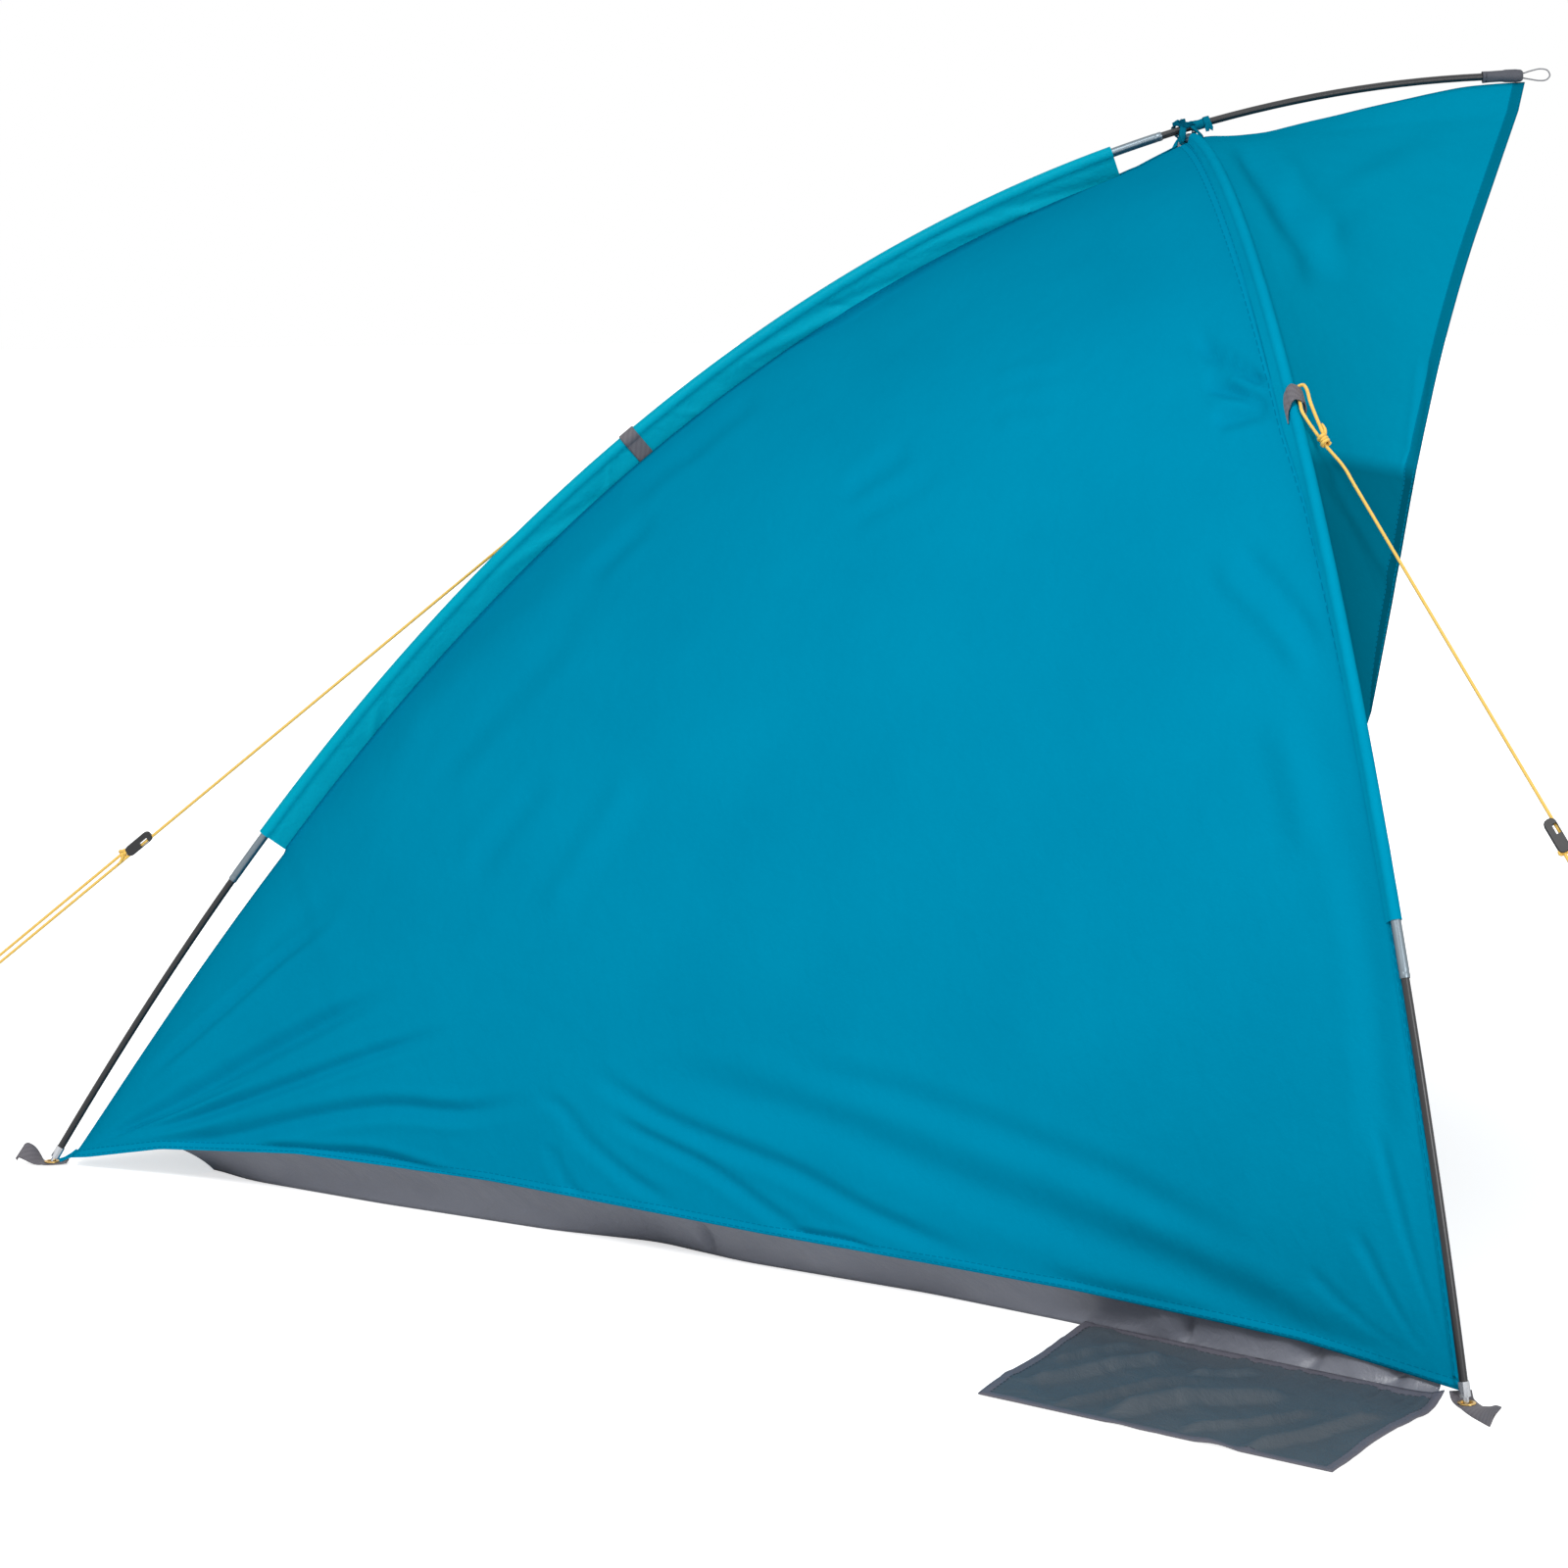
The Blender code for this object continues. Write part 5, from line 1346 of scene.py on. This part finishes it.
def punch(piece, centre):
    select_only(piece)
    bpy.ops.mesh.primitive_cylinder_add(vertices=32, radius=PUNCH_R, depth=0.02,
                                        location=tuple(centre))
    cutter = bpy.context.active_object
    hole = piece.modifiers.new("Hole", "BOOLEAN")
    hole.operation = "DIFFERENCE"
    hole.solver = "EXACT"
    hole.object = cutter
    apply_modifiers(piece)
    bpy.data.objects.remove(cutter, do_unlink=True)


def notch(piece, tip, back, half):
    """Pull the middle of a strip's end back, as webbing is cut with a swallow tail."""
    for vertex in piece.data.vertices:
        away = np.array(vertex.co) - tip
        near_end = max(0.0, 1 - abs(float(away @ back)) / 0.0035)
        aside = min(1.0, float(np.linalg.norm(away - back * (away @ back))) / half)
        vertex.co = vertex.co + Vector(back * 0.005 * near_end * (1 - aside))


WEB_HEIGHT = 0.0018
rear_path = [rear_foot + np.array([0, y, z]) for y, z in
             ((-0.020, 0.0030), (-0.011, WEB_HEIGHT), (0.010, WEB_HEIGHT), (0.016, 0.0055),
              (0.0215, 0.0105), (0.027, 0.0145), (0.033, 0.0170), (0.0362, 0.0158),
              (0.0355, 0.0125))]
stations = np.arange(6 * (len(rear_path) - 1) + 1) / 6
turns = np.radians(np.interp(stations, range(9), (0, 0, 0, 22, 42, 56, 64, 66, 66)))
taper = np.interp(stations, range(9), (1, 1, 1, 1, 1, 1, 0.98, 0.92, 0.85))
tail_way = unit((0.0, -0.55, 0.83))
rear_wide = WEB_WIDTH / 2 * taper[:, None] * (np.outer(np.cos(turns), (1.0, 0.0, 0.0))
                                              + np.outer(np.sin(turns), tail_way))
tab = strip("foot_tab_rear_webbing", rear_path, rear_wide)
punch(tab, pins["rear"] + np.array([0, 0, WEB_HEIGHT]))
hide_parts("foot_tab_rear")

front_path = [front_foot + np.array(offset) for offset in
              ((0.018, 0.003, 0.0100), (0.011, 0.002, 0.0035), (0.003, 0.000, WEB_HEIGHT),
               (-0.011, -0.003, WEB_HEIGHT), (-0.028, -0.007, 0.0034), (-0.050, -0.011, 0.0072),
               (-0.073, -0.014, 0.0104))]
steps = np.gradient(smooth_route(front_path, 6), axis=0)
rolls = np.radians(np.interp(np.arange(len(steps)) / 6, range(7), (0, 0, 0, 0, 16, 40, 58)))
front_wide = np.array([WEB_WIDTH / 2 * (math.cos(roll) * unit((-step[1], step[0], 0.0))
                                        + math.sin(roll) * np.array([0.0, 0.0, 1.0]))
                       for step, roll in zip(steps, rolls)])
for name, side in SIDES:
    tab = strip(f"foot_tab_{name}_webbing", front_path, front_wide, side=side)
    punch(tab, pins[name] + np.array([0, 0, WEB_HEIGHT]))
    notch(tab, sided(front_path[-1], side), sided(-unit(steps[-1]), side), WEB_WIDTH / 2)
    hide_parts(f"foot_tab_{name}")

tie_path = [rear_foot + np.array([-0.001, y, z]) for y, z in
            ((-0.033, 0.0145), (-0.025, 0.0105), (-0.017, 0.0066), (-0.010, 0.0040))]
tie_half = np.interp(np.arange(19) / 6, range(4), (0.0042, 0.0026, 0.0020, 0.0026))
strip("panel_tie_rear", tie_path, np.outer(tie_half, unit((0.3, 0.45, 0.84))),
      0.0012, teal_shell)
print("three foot tabs")

# %% [markdown]
# ## Bands for the guy lines
# A band of webbing goes round each arch sleeve and round the ridge sleeve. It lies close on
# the sleeve and lifts into a small tunnel where the cord goes through.

# %% Bands on the sleeves
BAND_R = 0.0091


def band_section(degrees, tunnel, rise, spread_out=1.9):
    """Section of a band round its pole that lifts over the tunnel for the cord."""
    points = []
    for a in np.radians(np.linspace(*degrees, 80)):
        off = abs(math.remainder(a - tunnel, 2 * math.pi))
        radius = BAND_R + rise * max(0.0, math.cos(min(off * spread_out, math.pi / 2))) ** 0.5
        points.append((radius * math.cos(a), radius * math.sin(a)))
    return points


def band(name, pole, lows, highs, section, side):
    """A band with a low and a high edge that may slant round the pole."""
    rows = [[pole.place(low + share * (high - low), *point)
             for point, low, high in zip(section, lows, highs)]
            for share in np.linspace(0, 1, 9)]
    return sheet(name, np.array(rows).transpose(1, 0, 2), WEBBING, grey_webbing,
                 edges=("col0", "col1"), side=side)


tab_section = band_section((0, 190), TAB_TUNNEL, 0.0042, 1.3)
tab_turns = np.linspace(0, 190, 80)
tab_low = np.interp(tab_turns, (0, 40, 95, 150, 190), (1.030, 1.042, 1.051, 1.048, 1.042))
tab_high = np.interp(tab_turns, (0, 40, 95, 150, 190), (1.052, 1.066, 1.073, 1.067, 1.058))
for name, side in SIDES:
    piece = band(f"arch_tab_{name}_webbing", arch, tab_low, tab_high, tab_section, side)
    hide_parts(f"arch_tab_{name}")
round_part = band_section((-42, 222), BAND_TUNNEL, 0.0035)
legs = [[tuple(np.array(a) + (np.array(b) - np.array(a)) * k / 8) for k in range(8)]
        for a, b in (((0.00195, -0.0310), round_part[0]), ((-0.00195, -0.0310), round_part[-1]))]
section = legs[0] + round_part + legs[1][::-1]
piece = band("ridge_band_webbing", ridge, [RIDGE_BAND - RIDGE_BAND_WIDTH / 2] * len(section),
             [RIDGE_BAND + RIDGE_BAND_WIDTH / 2] * len(section), section, NEAR)
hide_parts("ridge_band")
print("three bands")

# %% [markdown]
# ## Crossing of the poles
# Two teal ribbons are tied slantwise round both poles where they cross, so that they can't
# slide apart. Each is a flat band round the pair, and its ends leave the knot as two short
# tails. A third ribbon ties the awning to the ridge pole, and a little webbing tab joins the
# corner of the panels to the crossing.

# %% Ribbons at the crossing
RIBBON_HALF_WIDTH, RIBBON_CLOTH = 0.004, 0.0006
LOOP_ACROSS, LOOP_UP, LOOP_SLANT = 0.0137, 0.0122, 0.007
FIVE_ACROSS = (-1, -0.5, 0, 0.5, 1)


def ribbon_loop(name, turn_way, grow):
    """A closed flat ribbon round both poles, with a crease where it is knotted."""
    centre = ridge.place(CROSSING, 0, -POLE_CROSSING / 2 - 0.0005)
    along, up = ridge.tangent(CROSSING), ridge.out(CROSSING)
    across = unit(ridge.side + turn_way * along)
    wide = unit(ridge.side - turn_way * along) * RIBBON_HALF_WIDTH
    rows = []
    for k in range(61):
        angle = 2 * math.pi * k / 60
        cos, sin = math.cos(angle), math.sin(angle)
        size = (abs(cos) ** 3 + abs(sin) ** 3) ** (-1 / 3)
        gather = 1.0 - 0.35 * math.exp(-((angle - math.pi) / 0.5) ** 2)
        middle = (centre + across * (LOOP_ACROSS + grow) * size * cos
                  + up * (LOOP_UP + grow) * size * sin + along * turn_way * LOOP_SLANT * sin)
        rows.append([middle + wide * gather * w + up * 0.0004 * math.sin(w * 2.2 + k * 0.5)
                     for w in FIVE_ACROSS])
    return sheet(name, np.array(rows), RIBBON_CLOTH, ribbon, edges=("col0",))


def ribbon_tail(name, start, way, wide, length):
    """A loose ribbon end, cut to a point, that droops as it leaves its knot."""
    rows = []
    for k in range(13):
        share = k / 12
        droop = np.array([0, 0, -0.35 * length * share ** 2])
        narrow = 1.0 if share < 0.75 else max(0.12, (1 - share) / 0.25)
        centre = start + way * length * share + droop
        twist = 0.0008 * math.sin(share * 7.0)
        rows.append([centre + wide * w * narrow + np.array([0, 0, twist * w])
                     for w in FIVE_ACROSS])
    return sheet(name, np.array(rows), RIBBON_CLOTH, ribbon, edges=("col0",))


ribbon = woven("teal_polyester_ribbon", "#067C98", "#04657F", "#0B6F94", 0.45, (), crease=0.3,
               shine=0.0)
for index, (turn_way, grow) in enumerate(((1, 0.0), (-1, 0.0010)), start=1):
    piece = ribbon_loop(f"apex_ribbon_{index}_band", turn_way, grow)
    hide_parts(f"apex_ribbon_{index}")

knot_spot = ridge.place(CROSSING - 0.004, -0.014, 0.003)
for index, (way, length) in enumerate((((-0.5, 0.75, 0.6), 0.020), ((-0.6, 0.2, 0.9), 0.018),
                                       ((-0.6, -0.7, 0.5), 0.020), ((-0.7, 0.1, -0.7), 0.018))):
    way = unit(way)
    wide = unit(np.cross(way, (1.0, 0.1, 0.3))) * 0.0038
    ribbon_tail(f"apex_tail_{index + 1}", knot_spot, way, wide, length)


# %% Awning tie and tip pocket
def ring_strip(name, span, radius, wobble, thickness):
    """Ribbon wound once round the ridge pole, a little uneven."""
    rows = [[ridge.around(s, radius + wobble * math.sin(3 * a + s * 300), a)
             for a in np.linspace(0, 2 * math.pi, 41)] for s in np.linspace(*span, 7)]
    return sheet(name, np.array(rows).transpose(1, 0, 2), thickness, ribbon,
                 edges=("col0", "col1"))


ring_strip("tie_wrap_ribbon", (CROSSING + 0.006, CROSSING + 0.022), 0.0054, 0.0003, 0.0007)
tie = ring_strip("awning_tie_ribbon", (CROSSING + 0.0215, CROSSING + 0.029), 0.0064, 0.0004,
                 0.0008)
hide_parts("awning_tie")
tie_knot = ridge.place(CROSSING + 0.026, -0.0066, -0.002)
for index, way in enumerate(((-0.4, 0.3, -0.7), (-0.5, -0.5, -0.5))):
    way = unit(way)
    wide = unit(np.cross(way, (1.0, 0.0, 0.4))) * 0.0030
    ribbon_tail(f"tie_tail_{index + 1}", tie_knot, way, wide, 0.008)
corner_path = [ridge.place(CROSSING - 0.009, -0.008, -0.009),
               ridge.place(CROSSING - 0.012, -0.008, -0.015),
               ridge.place(CROSSING - 0.015, -0.005, -0.024)]
strip("corner_webbing", corner_path, ridge.tangent(CROSSING) * 0.0030, material=pale_webbing)


def make_pocket():
    """A cloth pocket sewn over the pole's end, a little crumpled at its mouth."""
    mouth = RIDGE_END - 0.045
    profile = [(mouth, 0.0064), (mouth + 0.003, 0.0063), (mouth + 0.008, 0.0061),
               (RIDGE_END - 0.022, 0.0062), (RIDGE_END - 0.018, 0.0070),
               (RIDGE_END - 0.006, 0.0072), (RIDGE_END, 0.0066),
               (RIDGE_END + 0.0018, 0.0050), (RIDGE_END + 0.0022, 0.0025),
               (RIDGE_END + 0.0023, 0.0004)]
    lengths = np.linspace(0, len(profile) - 1, 33)
    table = np.array(profile)
    rows = []
    for step in lengths:
        s = np.interp(step, range(len(profile)), table[:, 0])
        radius = np.interp(step, range(len(profile)), table[:, 1])
        loose = 0.0006 * max(0.0, 1 - (s - mouth) / 0.02)
        rows.append([ridge.around(s, radius + loose * math.sin(3 * a), a)
                     for a in np.linspace(0, 2 * math.pi, 41)])
    return np.array(rows).transpose(1, 0, 2)


pocket_cloth = woven("grey_pocket_cloth", "#5C5E66", "#484A52", "#30323A", 0.6, (0.004,),
                     crease=0.4)
pocket = sheet("tip_pocket_cloth", make_pocket(), 0.0008, pocket_cloth,
               edges=("col0",))
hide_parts("tip_pocket")

nose = ridge.at(RIDGE_END + 0.00313)
ahead, up = ridge.tangent(RIDGE_END), ridge.out(RIDGE_END)
loop_route = smooth_route([nose + ahead * f + up * u for f, u in
                           ((0, 0.0028), (0.010, 0.0058), (0.020, 0.0076), (0.028, 0.0058),
                            (0.031, 0.0), (0.027, -0.0050), (0.018, -0.0058),
                            (0.008, -0.0042), (0, -0.0028))], 6)
tip_loop = tube_mesh("tip_loop_cord", loop_route, 0.0009, 8)
grey_cord = braided("grey_thin_braid", "#A9AAAE", "#6F7076", 0.6)
tip_loop.data.materials.append(grey_cord)
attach(tip_loop, "tent")
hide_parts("tip_loop")
print("crossing and tip done, tip loop", round(path_length(loop_route), 4), "m")

# %% [markdown]
# ## Rods, ferrules and sliders
# The rods are pultruded fibreglass with a thin black skin: glossy along the fibres, with faint
# streaks. The ferrules and the pole ends are zinc-plated steel tube. The sliders are moulded
# nylon, black and slightly rough. These CAD solids have the right shape, so they keep it and
# only get their real finish. The smooth rods below replace the faceted ones, because a bent
# rod's outline shows every facet.

# %% Finishes of the hard parts
def streaked(name, code, roughness, coat=0.3):
    material, tree, shader = new_material(name)
    place = add_node(tree, "ShaderNodeTexCoord")
    long_way = add_node(tree, "ShaderNodeMapping", {"Vector": (place, "Object"),
                                                    "Scale": (300.0, 40.0, 40.0)})
    fibres = add_node(tree, "ShaderNodeTexNoise", {"Vector": (long_way, "Vector"),
                                                   "Scale": 1.0, "Detail": 3.0})
    level = add_node(tree, "ShaderNodeMapRange", {"Value": (fibres, "Fac"),
                                                  "To Min": roughness * 0.85,
                                                  "To Max": roughness * 1.2})
    bump = add_node(tree, "ShaderNodeBump", {"Height": (fibres, "Fac"), "Strength": 0.06,
                                             "Distance": 0.0002})
    set_inputs(tree, shader, {"Base Color": hex_colour(code), "Normal": (bump, "Normal"),
                              "Roughness": (level, "Result"), "Coat Weight": coat,
                              "Coat Roughness": 0.2})
    return material


black_fibreglass = streaked("black_pultruded_fibreglass", "#1B1C1F", 0.32)
black_nylon = streaked("black_moulded_nylon", "#1E1E20", 0.45)
white_elastic = streaked("white_elastic_braid", "#DAD8D0", 0.8, 0.0)


def finish_node(node, material):
    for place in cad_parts[node].material_slots:
        place.material = material


for name in ("near", "far", "rear"):
    finish_node(f"slider_{name}", black_nylon)
for name in ("ridge_end_rear", "ridge_end_front", "arch_end_near", "arch_end_far"):
    finish_node(name, plated_steel)
for name in ("ridge_elastic_cord", "arch_elastic_cord"):
    finish_node(name, white_elastic)
print("nodes finished")

# %% [markdown]
# ## Smooth rods and ferrules
# A tube that follows a bent pole starts as a flat grid, as long as the rod and as wide as its
# girth. The grid is rolled round the pole, its long edges are merged, and a Solidify modifier
# gives it the wall. This keeps the quads long and even, where a bent cylinder would pinch.

# %% Roll a tube round a pole
ROD_R, ROD_BORE_R = 0.00425, 0.00225
FERRULE_R, FERRULE_WALL, FERRULE_HALF = 0.0053, 0.0005, 0.040
GAP = 0.0003
ROD_START = 0.0102
TUBE_SIDES = 24


def rolled_tube(name, pole, start, end, radius_at, wall, material, steps):
    bpy.ops.object.select_all(action="DESELECT")
    bpy.ops.mesh.primitive_grid_add(x_subdivisions=steps, y_subdivisions=TUBE_SIDES, size=2)
    obj = bpy.context.active_object
    obj.name = name
    for vertex in obj.data.vertices:
        s = start + (vertex.co.x + 1) / 2 * (end - start)
        angle = (vertex.co.y + 1) * math.pi
        vertex.co = pole.around(s, radius_at(s), angle)
    bpy.ops.object.mode_set(mode="EDIT")
    bpy.ops.mesh.select_all(action="SELECT")
    bpy.ops.mesh.remove_doubles(threshold=0.00002)
    bpy.ops.mesh.normals_make_consistent(inside=False)
    bpy.ops.object.mode_set(mode="OBJECT")
    shell = obj.modifiers.new("Wall", "SOLIDIFY")
    shell.thickness = wall
    shell.offset = -1.0
    apply_modifiers(obj)
    bpy.ops.object.shade_smooth_by_angle(angle=math.radians(40))
    obj.data.materials.append(material)
    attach(obj, "tent")
    return obj


def make_rods(prefix, pole, count, front_end):
    for k in range(count):
        last = k == count - 1 and not front_end
        start = ROD_START if k == 0 else k * SEGMENT + GAP
        end = (k + 1) * SEGMENT - (ROD_START if last else GAP)
        rod = rolled_tube(f"{prefix}_rod_{k + 1}_tube", pole, start, end, lambda s: ROD_R,
                          ROD_R - ROD_BORE_R, black_fibreglass, 18)
        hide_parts(f"{prefix}_rod_{k + 1}")


def make_ferrules(prefix, pole, count):
    """Steel sleeves with a crimped ring near each end."""
    for k in range(1, count):
        centre = k * SEGMENT

        def radius_at(s):
            end = FERRULE_HALF - abs(s - centre)
            crimp = 0.00022 * math.exp(-((end - 0.006) / 0.0012) ** 2)
            return FERRULE_R - crimp - 0.0003 * math.exp(-end / 0.0008)

        ferrule = rolled_tube(f"{prefix}_ferrule_{k}_tube", pole, centre - FERRULE_HALF,
                              centre + FERRULE_HALF, radius_at, FERRULE_WALL, dull_steel,
                              66)
        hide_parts(f"{prefix}_ferrule_{k}")


make_rods("ridge", ridge, 5, True)
make_rods("arch", arch, 8, False)
make_ferrules("ridge", ridge, 5)
make_ferrules("arch", arch, 8)
print("rods and ferrules made")
